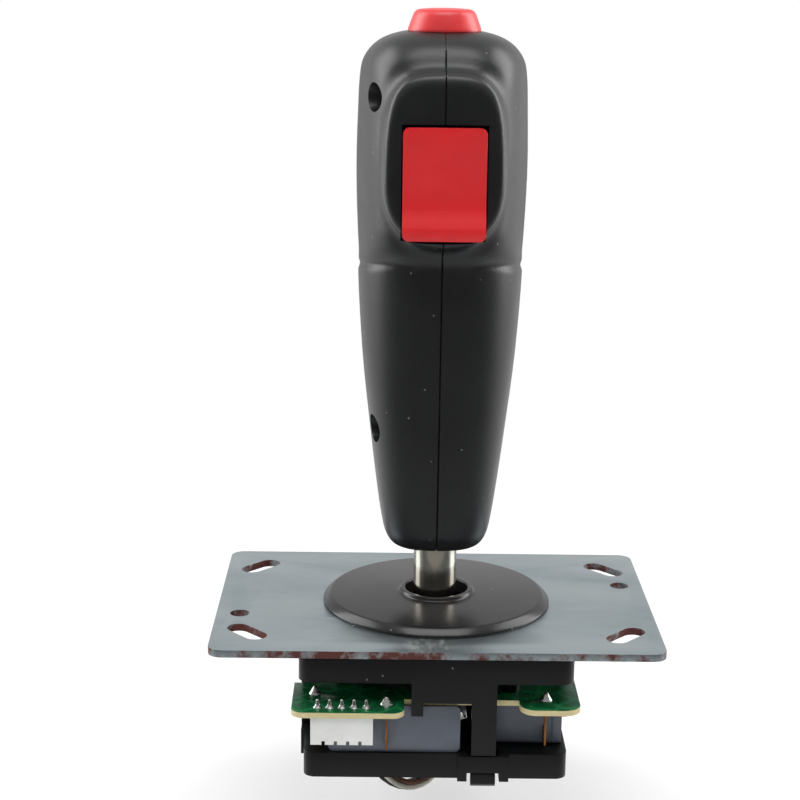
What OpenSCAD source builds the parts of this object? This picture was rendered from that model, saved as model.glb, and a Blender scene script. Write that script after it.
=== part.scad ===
// Arcade joystick with a pistol grip: a hollow lever on a gimbal over four snap switches,
// a trigger and a thumb button in a two-piece grip, and a flat mounting plate.
// The origin is on the lever's axis at the plate's top face. +Z runs up the lever and
// -Y is the trigger's side. Sizes are in millimetres.

/* [Mounting plate] */
// Width of the plate
plate_w = 95; // [94:1:120]
// Depth of the plate
plate_d = 65; // [58:1:90]
// Thickness of the sheet
plate_t = 1.6; // [1.2:0.1:2.4]
// Corner radius of the plate
plate_corner_r = 3; // [1:0.5:6]
// Radius of the lever's hole in the plate
plate_hole_r = 14; // [13:0.5:18]
// Distance of a slot's middle from the plate's side
slot_inset_x = 7.5; // [6.8:0.1:9]
// Distance of a slot's middle from the plate's front or back edge
slot_inset_y = 11; // [8:0.1:13]
// Half the width of a slot
slot_r = 2.4; // [2:0.1:2.6]
// Distance between the centres of a slot's two round ends
slot_run = 5.9; // [3:0.1:6.5]
// Angle of a slot to the plate's front edge
slot_angle = 48; // [40:1:56]
// Distance of a small round hole from the plate's side
small_hole_inset = 5.1; // [4:0.1:8]
// Distance of a small round hole from the plate's middle, front to back
small_hole_y = 10.3; // [4:0.1:11.5]
// Radius of a small round hole
small_hole_r = 2.1; // [1.5:0.1:2.5]

/* [Dust washer] */
// Outer radius of the washer
washer_r = 25; // [24:0.5:28]
// Thickness of the washer
washer_t = 2; // [1.5:0.1:3]
// Width of the slope round the rim
washer_bevel = 1.6; // [0.5:0.1:3]
// Inner radius of the raised collar
collar_bore_r = 6.9; // [6.8:0.1:8]
// Width of the collar's wall
collar_wall = 1; // [0.6:0.1:2]
// Height of the collar above the washer
collar_h = 1; // [0.5:0.1:1.5]
// Sideways offset at which the loose washer lies
washer_shift = 0.4; // [0:0.1:0.4]

/* [Housing] */
// Width and depth of the square housing
housing_w = 57.8; // [57:0.2:62]
// Height of the housing's block
housing_h = 6.8; // [6:0.1:8]
// Corner radius of the housing
housing_corner_r = 3; // [1:0.5:5]
// Radius of the cavity round the gimbal
cavity_r = 13.4; // [13.2:0.1:14]
// Height of the ring below the block that the spring plate bears on
seat_h = 2.8; // [2.4:0.1:3]
// Width of a clip leg
leg_w = 5.2; // [4:0.1:5.6]
// Distance of a clip leg's middle from the lever's axis, along its side
leg_x = 10.1; // [9.5:0.1:11]

/* [Base switches] */
// Length of a switch
switch_l = 27.8; // [27:0.1:28.5]
// Depth of a switch from its plunger's face to its back
switch_d = 15.9; // [15:0.1:16.5]
// Thickness of a switch
switch_t = 10.3; // [9.5:0.1:11]
// Distance from the housing's side in to the back of a switch
switch_inset = 1.9; // [1.7:0.1:2.1]
// Distance from the plunger to the near end of its switch
plunger_offset = 5.2; // [4.5:0.1:6]
// Radius of a base plunger
plunger_r = 1.3; // [1:0.1:1.8]
// How far a base plunger stands out of its switch
plunger_out = 1; // [0.8:0.05:1.05]
// Spacing of a switch's two peg holes along its length
peg_span = 22.2; // [20:0.1:22.4]
// Radius of a locating peg
peg_r = 1.5; // [1.2:0.1:1.8]

/* [Circuit board] */
// Width of the board
board_w = 60.4; // [60:0.2:62]
// Thickness of the board
board_t = 1.2; // [0.8:0.1:1.6]
// Free height between the housing's block and the board
board_gap = 4.6; // [4.4:0.1:6]
// Radius of the round opening in the board
board_hole_r = 12.5; // [9:0.5:13]
// Pitch of the header's pins
pin_pitch = 2.54; // [2:0.01:2.54]
// Number of pins in the header
pin_count = 5; // [3:1:5]
// Width of the header's shell, front to back
header_d = 5.2; // [4.6:0.1:5.2]
// Height of the header's shell
header_h = 6.1; // [5:0.1:8]

/* [Gate] */
// How much narrower the gate is than the housing
gate_less = 2.1; // [1.6:0.1:2.8]
// Height of the gate
gate_h = 5.5; // [5:0.1:7]
// Thickness of the gate's floor
gate_floor = 3; // [2.5:0.1:4]
// Play between the shaft at its full tilt and the square hole that stops it
gate_play = 0.17; // [0.1:0.01:1]
// Depth of the round well that clears the retaining clip
well_depth = 1.2; // [1.1:0.1:1.6]

/* [Lever] */
// Radius of the shaft
shaft_r = 4.75; // [4.5:0.05:4.75]
// Radius of the bore through the shaft
shaft_bore_r = 3; // [2:0.1:3.2]
// Height of the shaft's top end, inside the grip
shaft_top = 35; // [28:0.5:36]
// Depth of the shaft's lower end below the plate
shaft_below = 29.5; // [27:0.5:30]
// Depth of the gimbal's centre below the plate
pivot_depth = 6; // [5.8:0.1:6.2]
// Largest tilt to each side, in degrees
tilt_max = 7; // [5:0.5:7]
// Outer radius of the hub that carries the shaft
hub_r = 7.5; // [7:0.1:7.8]
// Height of the hub
hub_h = 6.2; // [5.5:0.1:6.4]
// Inner radius of the gimbal ring
ring_in_r = 9.2; // [9:0.1:9.6]
// Outer radius of the gimbal ring
ring_out_r = 12.6; // [12:0.1:12.6]
// Height of the gimbal ring
ring_h = 5.5; // [5:0.1:5.6]
// Radius of a gimbal pin
gimbal_pin_r = 1.5; // [1.2:0.1:1.8]
// Outer radius of the actuator that presses the switches
actuator_r = 7.9; // [7.6:0.1:7.9]
// Height of the actuator
actuator_h = 8.7; // [8:0.1:8.7]
// Wire diameter of the centring spring
spring_wire = 0.8; // [0.6:0.1:0.8]

/* [Grip] */
// Height of the grip's lower end above the plate
grip_bottom = 12; // [11:0.5:14]
// Height of the grip from end to end
grip_h = 112; // [112:1:116]
// Widest half width of the grip
grip_half_w = 18; // [17.5:0.1:20]
// Wall of the grip's shells
grip_wall = 2.4; // [2:0.1:2.8]
// Gap along the seam of the two shells
seam = 0.1; // [0:0.05:0.2]
// Radius of the recess over a grip screw
screw_recess_r = 3; // [2.9:0.1:3.4]
// Height of the lower grip screw
low_screw_z = 40.4; // [39:0.2:44]
// Height of the upper grip screw
high_screw_z = 111; // [111:0.2:112]

/* [Trigger] */
// Width of the trigger
trigger_w = 17.1; // [15:0.1:17.6]
// Height of the trigger
trigger_h = 22.7; // [22.5:0.1:23]
// Height of the trigger's lower edge
trigger_low = 83.2; // [83.2:0.1:83.4]
// Radius of the trigger's pin
trigger_pin_r = 1; // [0.8:0.1:1.2]

/* [Thumb button] */
// Radius of the button at the grip's surface
button_r = 7.35; // [6.5:0.05:7.5]
// Radius of the button's flat top
button_top_r = 5.4; // [4.5:0.1:5.8]
// Height of the button above the grip
button_h = 4.5; // [3.5:0.1:5.5]
// Distance of the button's axis behind the trigger's side of the lever's axis
button_y = -1; // [-1.5:0.1:0]
// Travel of the button
button_travel = 1.2; // [0.8:0.1:1.3]

/* [Leads] */
// Radius of the bundle of leads
lead_r = 1.6; // [1.4:0.1:1.7]
// Sides of the round section of the bundle
lead_sides = 8; // [8:1:12]

/* [Hidden] */

$fn = 64;
// Radial clearance of a running fit, and the small gap of a fixed one
run_gap = 0.05;
fixed_gap = 0.02;
// Overlap that keeps a cut from ending on a face
past = 1;
// Reach of a cut that goes all the way out
far = 2 * (grip_bottom + grip_h);

// Places that follow from the sizes of the plate and the housing
slot_x = plate_w / 2 - slot_inset_x;
slot_y = plate_d / 2 - slot_inset_y;
small_hole_x = plate_w / 2 - small_hole_inset;
switch_back = housing_w / 2 - switch_inset;
gate_w = housing_w - gate_less;

// Levels of the base, downwards from the plate
housing_top = -plate_t;
block_low = housing_top - housing_h;
seat_low = block_low - seat_h;
board_top = block_low - board_gap;
switch_top = board_top - board_t;
switch_mid = switch_top - switch_t / 2;
gate_top = switch_top - switch_t;
gate_low = gate_top - gate_h;
floor_low = gate_top - gate_floor;
pivot_z = -pivot_depth;
shaft_low = -shaft_below;

// Half the width of the gate's hole: where the tilted shaft's side is at the floor's foot
gate_half = shaft_r / cos(tilt_max) + (pivot_z - floor_low) * tan(tilt_max) + gate_play;

// Plate screws stand on a circle that the dust washer hides
screw_spot = 15.5;
plate_screw_r = 1.5;
plate_screw_head_r = 2.8;
plate_screw_l = 7.5;

// Base switches, each described as the one at the front and turned into place
switch_near = switch_back - switch_d;
switch_x0 = plunger_offset - switch_l;
switch_x_mid = plunger_offset - switch_l / 2;
peg_near = switch_near + 2.8;
peg_far = switch_near + 13.1;
peg_h = 6;
plunger_tip = switch_near - plunger_out;
plunger_in = 4;
blade_t = 0.5;
blade_w = 1.4;
blade_low = switch_mid - 3.9;
side_blade_x = -10.4;
side_blade_y = switch_back + 1.6;
end_blade_x = switch_x0 - 2.9;
end_blade_y = switch_near + 12.1;

// Clip legs of the housing and the gate's bars that they snap under
leg_out = housing_w / 2;
leg_t = 2.4;
leg_step_t = 1.5;
bar_t = 1.1;
bar_gap = 0.3;
bar_h = 3.7;
bar_top = gate_top - 0.2;
bar_low = bar_top - bar_h;
lug_gap = 0.8;
lug_w = 2;
lug_low = gate_low - 0.3;
hook_low = gate_low - 1.7;
hook_gap = 0.3;
ledge_low = board_top + 0.2;
ledge_t = 1.5;
ledge_x0 = -5.2;
tab_w = 2.5;
tab_low = switch_top - 1.5;

// Circuit board outline, with a notch for each leg and ledge
notch_x0 = ledge_x0 - 1.5;
notch_x1 = leg_x + leg_w / 2 + 4.8;
notch_floor = leg_out - leg_t - 0.3;
tab_left_y = -(switch_back + 6.8);
tab_right_y = -(switch_back + 4.5);
board_rear = switch_back + 3.5;
standoff = [-20, -16];
standoff_r = 2;

// Header on the board's front left tab
header_x = -19.65;
header_y = -(switch_back + 3.7);
header_w = (pin_count - 1) * pin_pitch + 2.8;
header_wall = 0.9;
header_base = 1.6;
pin_side = 0.64;

// Gimbal
hub_pin_end = ring_out_r - 0.2;
ring_pin_end = cavity_r + 4;
bearing_end = ring_pin_end + 0.2;

// Actuator cup, its spring and the clip under it
clip_t = 0.7;
clip_r = 7;
groove_r = 3.85;
groove_top = gate_top + 1.2;
actuator_low = groove_top;
actuator_top = actuator_low + actuator_h;
cup_r = actuator_r - 1;
cup_floor = 1;
spring_plate_t = 0.8;
spring_plate_low = seat_low - spring_plate_t;
spring_plate_bore = 6;
spring_plate_r = cavity_r + 2.2;
seat_r = cavity_r + 3;
spring_top_r = spring_plate_bore + 0.15 + spring_wire / 2;
spring_low_r = cup_r - 0.8 - spring_wire / 2;

// Grip sections from the lower end up. Each row holds the height as a share of the grip,
// the half width as a share of the widest, the depths to the front and to the back, and
// how much the sides close in towards the front
GRIP_ROWS = [
    [0.000, 0.40, 7.0, 7.4, 0.00],
    [0.008, 0.51, 8.9, 9.3, 0.00],
    [0.020, 0.585, 10.3, 10.7, 0.02],
    [0.045, 0.64, 11.4, 11.9, 0.04],
    [0.138, 0.731, 12.6, 13.4, 0.08],
    [0.258, 0.822, 13.6, 15.0, 0.12],
    [0.378, 0.905, 14.3, 16.4, 0.16],
    [0.495, 0.957, 14.8, 17.6, 0.20],
    [0.560, 0.973, 14.9, 18.2, 0.22],
    [0.585, 0.966, 15.1, 18.4, 0.24],
    [0.602, 0.970, 16.2, 18.6, 0.26],
    [0.630, 0.980, 16.9, 19.0, 0.30],
    [0.705, 0.998, 17.4, 19.8, 0.33],
    [0.786, 1.000, 17.6, 20.4, 0.33],
    [0.857, 0.988, 17.4, 20.6, 0.32],
    [0.911, 0.973, 16.8, 20.2, 0.28],
    [0.945, 0.942, 15.9, 19.2, 0.24],
    [0.967, 0.862, 14.4, 17.4, 0.18],
    [0.983, 0.750, 12.6, 15.0, 0.12],
    [0.994, 0.600, 10.3, 12.2, 0.06],
    [1.000, 0.445, 8.6, 9.6, 0.00]];
half_sides = 16;
section_power = 2.8;
grip_top = grip_bottom + grip_h;
cavity_low = 48;
cavity_top = grip_top - 2.5;
// Steps of the hollow, each with its half width, its reach to the front and the back, and
// its lower and upper level
HOLLOW = [
    [13.8 - grip_wall, -9.5, 12.5, cavity_low, 62],
    [15.4 - grip_wall, -10.5, 14.5, 61, 81],
    [16.9 - grip_wall, -7.5, 16.5, 80, 107],
    [14.4 - grip_wall, -7.5, 13, 106, 109]];

// Raised surround of the trigger, an egg seen from the front
boss_half_w = 12.3;
boss_low = 81;
boss_high = 116.6;
boss_front = -20.3;
boss_root = -9;
boss_soft = 0.9;

// Trigger, its pin, presser and switch
trigger_gap = 0.3;
trigger_back = -17.6;
trigger_top = trigger_low + trigger_h;
trigger_axis = [-17.2, trigger_top - 2.5];
trigger_hub_r = 2.2;
trigger_corner_r = 1.3;
trigger_pin_half = 10.6;
// The trigger's front from top to foot: depth, and height above the trigger's lower edge
TRIGGER_FRONT = [[-20.3, trigger_h], [-20.2, 19], [-19.7, 14.5], [-19.6, 10], [-20.4, 6],
    [-21.8, 3.4], [-22.4, 1.8], [-21.9, 0.4], [-20.9, 0]];
presser_z = 93;
presser_y = -16.5;
small_plunger_r = 0.9;
small_switch = [12.8, 6.5, 5.8];
switch_face_y = -14.8;
terminal_y = switch_face_y + small_switch[1] + 0.7;
trigger_swing_gap = 0.85;
return_z = 87;
return_seat_y = -9.3;
return_r = 1.8;
return_wire = 0.5;

// Thumb button, its stem, flange and switch
button_gap = 0.3;
button_flange_r = 8.6;
button_flange_t = 1.3;
button_skirt = 1.2;
button_stem_r = 2.2;
button_wire = 0.6;
button_spring_r = (button_stem_r + button_r - button_skirt) / 2 + 0.2;
flange_top = cavity_top - button_gap;
button_switch_top = grip_top - 12;
button_switch_low = button_switch_top - small_switch[1];
small_out = 1.4;
stem_low = button_switch_top + small_out + trigger_gap;
button_inner_top = grip_top + button_h - 2;

// Grip screws and the pin that keys the grip to the shaft
screw_r = 1.3;
screw_head_r = 2.6;
screw_head_h = 2;
low_screw = [-8.6, -5];
high_screw = [-10.4, -9.5];
screw_end = 8;
shaft_pin_r = 1.25;
shaft_pin_y = 4.9;
shaft_pin_z = 24;
shaft_pin_half = 9;

// Leads in the grip and shaft, and the free bundle that leaves the shaft's lower end and
// is put away as a tied hank behind the base
hank_run = 32;
hank_half = 11.2;
hank_t = 6.6;
hank_y = 31.5;
hank_z = -23.3;
GRIP_LEAD = [[0, button_y, button_switch_low - 0.1], [0, button_y, 103], [0, -2.2, 100],
    [0, -4.5, 96.5], [0, terminal_y + lead_r, 92], [0, -3, 85], [0, 2, 76], [0, 2.5, 66],
    [0, 0, 55], [0, 0, 40], [0, 0, 5], [0, 0, -29]];
FREE_LEAD = [[0, 0, -30.5], [1.5, 0, -35], [1.5, 0, -39], [-1, 0, -43], [-5.5, 0.5, -45],
    [-10.5, 2.5, -43.6], [-15, 8, -40.5], [-18.5, 15, -37.6], [-19, 22.5, -35.4],
    [-16.5, 28, -33.8], [-12.5, hank_y + 0.2, -32.9]];
TAIL = [[10, 35, -34.5], [10, 35, -39], [10, 35, -43]];
tie_w = 4;
tie_t = 0.8;
plug_size = [10, 6, 8];

// Shared shapes

module rounded_square(size, r) {
    translate([-size[0] / 2 + r, -size[1] / 2])
        square([size[0] - 2 * r, size[1]]);
    translate([-size[0] / 2, -size[1] / 2 + r])
        square([size[0], size[1] - 2 * r]);
    for (x = [-1, 1], y = [-1, 1])
        translate([x * (size[0] / 2 - r), y * (size[1] / 2 - r)])
            circle(r);
}

// A box between two corners
module block(a, b) {
    translate(a)
        cube(b - a);
}

// A round bar along X, Y or Z from one end to the other, on an axis through the point at
module bar_x(x0, x1, at, r) {
    translate([x0, at[0], at[1]])
        rotate([0, 90, 0])
            cylinder(h = x1 - x0, r = r);
}

module bar_y(y0, y1, at, r) {
    translate([at[0], y1, at[1]])
        rotate([90, 0, 0])
            cylinder(h = y1 - y0, r = r);
}

module bar_z(z0, z1, at, r) {
    translate([at[0], at[1], z0])
        cylinder(h = z1 - z0, r = r);
}

// What stands once at the front, repeated on all four sides of the base
module four_sides() {
    for (turn = [0:90:270])
        rotate([0, 0, turn])
            children();
}

module mirrored_x() {
    children();
    mirror([1, 0, 0])
        children();
}

function unit(v) = v / norm(v);
function blend4(a, b, c, d, t) = 0.5 * (2 * b + (c - a) * t
    + (2 * a - 5 * b + 4 * c - d) * t * t + (3 * b - a - 3 * c + d) * t * t * t);
function clamped(list, i) = list[max(0, min(len(list) - 1, i))];
// A smooth line through the points, with a number of steps to each stretch
function smooth_line(points, steps) = concat([
    for (i = [0 : len(points) - 2], k = [0 : steps - 1])
        blend4(clamped(points, i - 1), points[i], points[i + 1],
            clamped(points, i + 2), k / steps)], [points[len(points) - 1]]);
function heading(line, i) = unit(clamped(line, i + 1) - clamped(line, i - 1));
function square_to(v, t) = unit(v - (v * t) * t);
function side_vectors(line, start) = [
    for (i = 0, v = square_to(start, heading(line, 0)); i < len(line);
        i = i + 1, v = square_to(v, heading(line, min(i, len(line) - 1)))) v];
function ring_round(centre, u, t, r, sides) = [
    for (k = [0 : sides - 1])
        centre + r * (cos(360 * k / sides) * u + sin(360 * k / sides) * cross(t, u))];

// Closed skin over rings of points that all have the same count and turn the same way
// about the direction in which they follow each other
module skin(rings) {
    n = len(rings[0]);
    last = len(rings) - 1;
    points = [for (ring = rings, p = ring) p];
    walls = [for (i = [0 : last - 1], k = [0 : n - 1])
        [(i + 1) * n + k, (i + 1) * n + (k + 1) % n, i * n + (k + 1) % n, i * n + k]];
    start = [[for (k = [0 : n - 1]) k]];
    finish = [[for (k = [n - 1 : -1 : 0]) last * n + k]];
    polyhedron(points = points, faces = concat(start, walls, finish), convexity = 10);
}

// A round tube along a line of points
module tube(line, r, sides, start) {
    sides_at = side_vectors(line, start);
    skin([for (i = [0 : len(line) - 1])
        ring_round(line[i], sides_at[i], heading(line, i), r, sides)]);
}

// A helical compression spring that may taper, along +Z from z0 to z1
module coil_spring(z0, z1, r0, r1, wire, turns) {
    steps = 14;
    count = turns * steps;
    rise = z1 - z0 - wire;
    line = [for (i = [0 : count]) let (s = i / count, a = 360 * turns * s,
        r = r0 + (r1 - r0) * s)
        [r * cos(a), r * sin(a), z0 + wire / 2 + rise * s]];
    tube(line, wire / 2, 8, [1, 0, 0]);
}

// Plate

module slot_outline() {
    for (s = [-1, 1])
        translate([s * slot_run / 2, 0])
            circle(slot_r);
    square([slot_run, 2 * slot_r], center = true);
}

module plate_slots() {
    for (x = [-1, 1], y = [-1, 1])
        translate([x * slot_x, y * slot_y])
            rotate(-x * y * slot_angle)
                slot_outline();
}

module mounting_plate() {
    color("#9aa3a4")
        difference() {
            translate([0, 0, -plate_t])
                linear_extrude(plate_t)
                    difference() {
                        rounded_square([plate_w, plate_d], plate_corner_r);
                        plate_slots();
                        circle(plate_hole_r);
                        for (s = [-1, 1])
                            translate([s * small_hole_x, s * small_hole_y])
                                circle(small_hole_r);
                    }
            at_plate_screws()
                screw_solid(plate_screw_r + run_gap, plate_screw_head_r + run_gap, past);
        }
}

module at_plate_screws() {
    for (x = [-1, 1], y = [-1, 1])
        translate([x * screw_spot, y * screw_spot, 0])
            children();
}

// A countersunk screw with its head's top at z = 0, with room above it when it cuts
module screw_solid(r, head_r, above) {
    rotate_extrude()
        polygon([[0, above], [head_r, above], [head_r, 0], [r, -head_r + r],
            [r, -plate_screw_l], [0, -plate_screw_l]]);
}

module plate_screws() {
    color("#b8b9b6")
        at_plate_screws()
            difference() {
                rotate_extrude()
                    polygon([[0, 0], [plate_screw_head_r, 0],
                        [plate_screw_r, -plate_screw_head_r + plate_screw_r],
                        [plate_screw_r, -plate_screw_l + 0.4],
                        [plate_screw_r - 0.5, -plate_screw_l + 0.1],
                        [0, -plate_screw_l + 0.1]]);
                for (turn = [0, 90])
                    rotate([0, 0, turn])
                        block([-1.5, -0.3, -0.9], [1.5, 0.3, past]);
            }
}

module dust_washer() {
    color("#3a3a3a")
        translate([washer_shift, 0, 0])
            rotate_extrude($fn = 96)
                polygon([[collar_bore_r, 0], [washer_r, 0], [washer_r, 0.5],
                    [washer_r - washer_bevel, washer_t],
                    [collar_bore_r + collar_wall + 0.4, washer_t],
                    [collar_bore_r + collar_wall, washer_t + 0.4],
                    [collar_bore_r + collar_wall, washer_t + collar_h - 0.3],
                    [collar_bore_r + collar_wall - 0.3, washer_t + collar_h],
                    [collar_bore_r, washer_t + collar_h]]);
}

// Housing

// A leg seen from the side: straight to the gate, stepped in behind the gate's bar, and
// hooked out again under it
module leg_profile() {
    inner = -leg_out + leg_t;
    behind_bar = -leg_out + bar_t + bar_gap;
    polygon([[-leg_out, block_low + past], [inner, block_low + past],
        [inner, gate_top + 0.6], [behind_bar + leg_step_t, gate_top],
        [behind_bar + leg_step_t, hook_low + 0.8], [behind_bar + leg_step_t - 0.8, hook_low],
        [-leg_out + 1, hook_low], [-leg_out, hook_low + 0.9],
        [-leg_out, bar_low - hook_gap], [behind_bar, bar_low - hook_gap],
        [behind_bar, bar_top + bar_gap], [-leg_out, bar_top + bar_gap]]);
}

module clip_leg() {
    translate([leg_x, 0, 0])
        rotate([90, 0, 90])
            linear_extrude(leg_w, center = true)
                leg_profile();
    block([ledge_x0, -leg_out, ledge_low], [leg_x, -leg_out + ledge_t, block_low + past]);
    block([ledge_x0, -leg_out, tab_low],
        [ledge_x0 + tab_w, -leg_out + ledge_t, block_low + past]);
}

module housing() {
    color("#1d1d1f")
        difference() {
            union() {
                translate([0, 0, block_low])
                    linear_extrude(housing_h)
                        rounded_square([housing_w, housing_w], housing_corner_r);
                bar_z(seat_low, block_low + past, [0, 0], seat_r);
                four_sides() {
                    clip_leg();
                    bar_z(board_top, housing_top - past, standoff, standoff_r);
                }
            }
            bar_z(seat_low - past, housing_top + past, [0, 0], cavity_r);
            bar_x(-bearing_end, bearing_end, [0, pivot_z], gimbal_pin_r + run_gap);
            at_plate_screws()
                bar_z(-plate_screw_l - 0.3, past, [0, 0], plate_screw_r + run_gap);
        }
}

module spring_plate() {
    color("#a9acae")
        translate([0, 0, spring_plate_low])
            linear_extrude(spring_plate_t)
                difference() {
                    circle(spring_plate_r);
                    circle(spring_plate_bore);
                }
}

// Circuit board

module board_outline() {
    half = board_w / 2;
    difference() {
        union() {
            translate([0, (board_rear - notch_floor) / 2])
                rounded_square([board_w, board_rear + notch_floor], 1.5);
            board_tab(-half, notch_x0, tab_left_y, 2.6);
            board_tab(notch_x1, half, tab_right_y, 3.4);
        }
        for (turn = [90, 180, 270])
            rotate(turn)
                translate([(notch_x0 + notch_x1) / 2, -notch_floor - 10])
                    square([notch_x1 - notch_x0, 20], center = true);
        circle(board_hole_r);
        four_sides() {
            translate([side_blade_x, -side_blade_y])
                circle(blade_w / 2 + 0.15);
            translate([end_blade_x, -end_blade_y])
                circle(blade_w / 2 + 0.15);
        }
        at_header_pins()
            circle(pin_side * 0.85);
    }
}

module board_tab(x0, x1, y0, r) {
    translate([(x0 + x1) / 2, y0 / 2])
        rounded_square([x1 - x0, -y0], r);
}

module at_header_pins() {
    for (i = [0 : pin_count - 1])
        translate([header_x + (i - (pin_count - 1) / 2) * pin_pitch, header_y])
            children();
}

module circuit_board() {
    color("#0d5a34")
        translate([0, 0, switch_top])
            linear_extrude(board_t)
                board_outline();
}

module solder_cone(r, h) {
    translate([0, 0, board_top])
        cylinder(h = h, r1 = r, r2 = r * 0.3, $fn = 24);
}

module solder_joints() {
    color("#c9c9c4") {
        at_header_pins()
            solder_cone(0.95, 1.8);
        four_sides() {
            translate([side_blade_x, -side_blade_y])
                solder_cone(1.35, 1.7);
            translate([end_blade_x, -end_blade_y])
                solder_cone(1.35, 1.7);
        }
    }
}

module header_shell() {
    low = switch_top - header_h;
    x0 = header_x - header_w / 2;
    y0 = header_y - header_d / 2;
    color("#e9e9e6")
        difference() {
            block([x0, y0, low], [x0 + header_w, y0 + header_d, switch_top]);
            block([x0 + header_wall, y0 + header_wall, low - past],
                [x0 + header_w - header_wall, y0 + header_d - header_wall,
                switch_top - header_base]);
            at_header_pins()
                bar_z(low - past, past, [0, 0], pin_side * 0.8);
            for (i = [0 : pin_count - 2])
                translate([header_x + (i - (pin_count - 2) / 2) * pin_pitch, y0, low])
                    block([-0.35, -past, -past], [0.35, header_wall + past, 0.8]);
        }
}

module header_pins() {
    color("#d8c070")
        at_header_pins()
            translate([0, 0, switch_top - header_h + 0.6])
                linear_extrude(header_h - 0.6 + board_t)
                    square(pin_side, center = true);
}

// Base switches

module switch_case() {
    color("#6f7580")
        difference() {
            translate([switch_x_mid, -switch_near, switch_mid])
                rotate([90, 0, 0])
                    linear_extrude(switch_d)
                        rounded_square([switch_l, switch_t], 1.2);
            bar_z(gate_top - past, switch_top + past,
                [switch_x_mid - peg_span / 2, -peg_near], peg_r + run_gap);
            bar_z(gate_top - past, switch_top + past,
                [switch_x_mid + peg_span / 2, -peg_far], peg_r + run_gap);
            bar_y(-switch_near - plunger_in - 0.4, -switch_near + past, [0, switch_mid],
                plunger_r + run_gap);
        }
}

module switch_plunger() {
    color("#8c1f1f") {
        bar_y(-switch_near - plunger_in + plunger_out, -plunger_tip - 0.3, [0, switch_mid],
            plunger_r);
        translate([0, -plunger_tip - 0.3, switch_mid])
            rotate([-90, 0, 0])
                cylinder(h = 0.3, r1 = plunger_r, r2 = plunger_r - 0.3);
    }
}

module switch_terminals() {
    top = board_top;
    color("#b5713a")
        four_sides() {
            block([side_blade_x - blade_t / 2, -side_blade_y - blade_w / 2, blade_low],
                [side_blade_x + blade_t / 2, -side_blade_y + blade_w / 2, top]);
            block([side_blade_x - blade_t / 2, -side_blade_y, blade_low],
                [side_blade_x + blade_t / 2, -switch_back, blade_low + 3]);
            block([end_blade_x - blade_w / 2, -end_blade_y - blade_t / 2, blade_low],
                [end_blade_x + blade_w / 2, -end_blade_y + blade_t / 2, top]);
            block([end_blade_x, -end_blade_y - blade_t / 2, blade_low],
                [switch_x0, -end_blade_y + blade_t / 2, blade_low + 3]);
        }
}

module switch_front() switch_case();
module switch_right() rotate([0, 0, 90]) switch_case();
module switch_rear() rotate([0, 0, 180]) switch_case();
module switch_left() rotate([0, 0, 270]) switch_case();
module plunger_front() switch_plunger();
module plunger_right() rotate([0, 0, 90]) switch_plunger();
module plunger_rear() rotate([0, 0, 180]) switch_plunger();
module plunger_left() rotate([0, 0, 270]) switch_plunger();

// Gate

module gate_clip_cut() {
    half = leg_w / 2 + lug_gap;
    block([leg_x - half, -gate_w, gate_low - past],
        [leg_x + half, -leg_out + bar_t + bar_gap + leg_step_t + 1, gate_top + past]);
}

module gate_clip_bar() {
    half = leg_w / 2 + lug_gap;
    block([leg_x - half - lug_w, -leg_out, bar_low],
        [leg_x + half + lug_w, -leg_out + bar_t, bar_top]);
    for (s = [-1, 1])
        translate([leg_x + s * (half + lug_w / 2), 0, 0])
            block([-lug_w / 2, -leg_out, lug_low],
                [lug_w / 2, -gate_w / 2 + 2.5, bar_top]);
}

module gate() {
    rim = 2.5;
    color("#19191b") {
        difference() {
            translate([0, 0, gate_low])
                linear_extrude(gate_h)
                    rounded_square([gate_w, gate_w], 2.5);
            translate([0, 0, gate_low - past])
                linear_extrude(floor_low - gate_low + past)
                    difference() {
                        rounded_square([gate_w - 2 * rim, gate_w - 2 * rim], 1.5);
                        rounded_square([2 * gate_half + 4, 2 * gate_half + 4], 2);
                        for (turn = [45, 135])
                            rotate(turn)
                                square([gate_w * 1.5, 1.6], center = true);
                    }
            bar_z(gate_top - well_depth, gate_top + past, [0, 0], 11.5);
            translate([0, 0, gate_low - past])
                linear_extrude(gate_h + 2 * past)
                    rounded_square([2 * gate_half, 2 * gate_half], 2);
            bar_z(gate_low - past, floor_low, [0, 0], gate_half * 1.25);
            four_sides()
                gate_clip_cut();
        }
        four_sides() {
            gate_clip_bar();
            bar_z(gate_top - past, gate_top + peg_h,
                [switch_x_mid - peg_span / 2, -peg_near], peg_r);
            bar_z(gate_top - past, gate_top + peg_h,
                [switch_x_mid + peg_span / 2, -peg_far], peg_r);
        }
    }
}

// Lever

module gimbal_ring() {
    color("#d9d7cf")
        translate([0, 0, pivot_z])
            difference() {
                translate([0, 0, -ring_h / 2])
                    linear_extrude(ring_h)
                        difference() {
                            circle(ring_out_r);
                            circle(ring_in_r);
                        }
                bar_x(-ring_out_r - past, ring_out_r + past, [0, 0],
                    gimbal_pin_r + fixed_gap);
                bar_y(-ring_out_r - past, ring_out_r + past, [0, 0],
                    gimbal_pin_r + run_gap);
            }
}

module ring_pins() {
    color("#b9bcbe")
        mirrored_x()
            bar_x(ring_in_r + 0.3, ring_pin_end, [0, pivot_z], gimbal_pin_r);
}

module pivot_hub() {
    color("#e4e2da")
        difference() {
            translate([0, 0, pivot_z - hub_h / 2])
                cylinder(h = hub_h, r = hub_r);
            bar_z(pivot_z - hub_h, pivot_z + hub_h, [0, 0], shaft_r + fixed_gap);
            bar_y(-hub_r - past, -shaft_r - 0.3, [0, pivot_z], gimbal_pin_r + fixed_gap);
            bar_y(shaft_r + 0.3, hub_r + past, [0, pivot_z], gimbal_pin_r + fixed_gap);
        }
}

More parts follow.
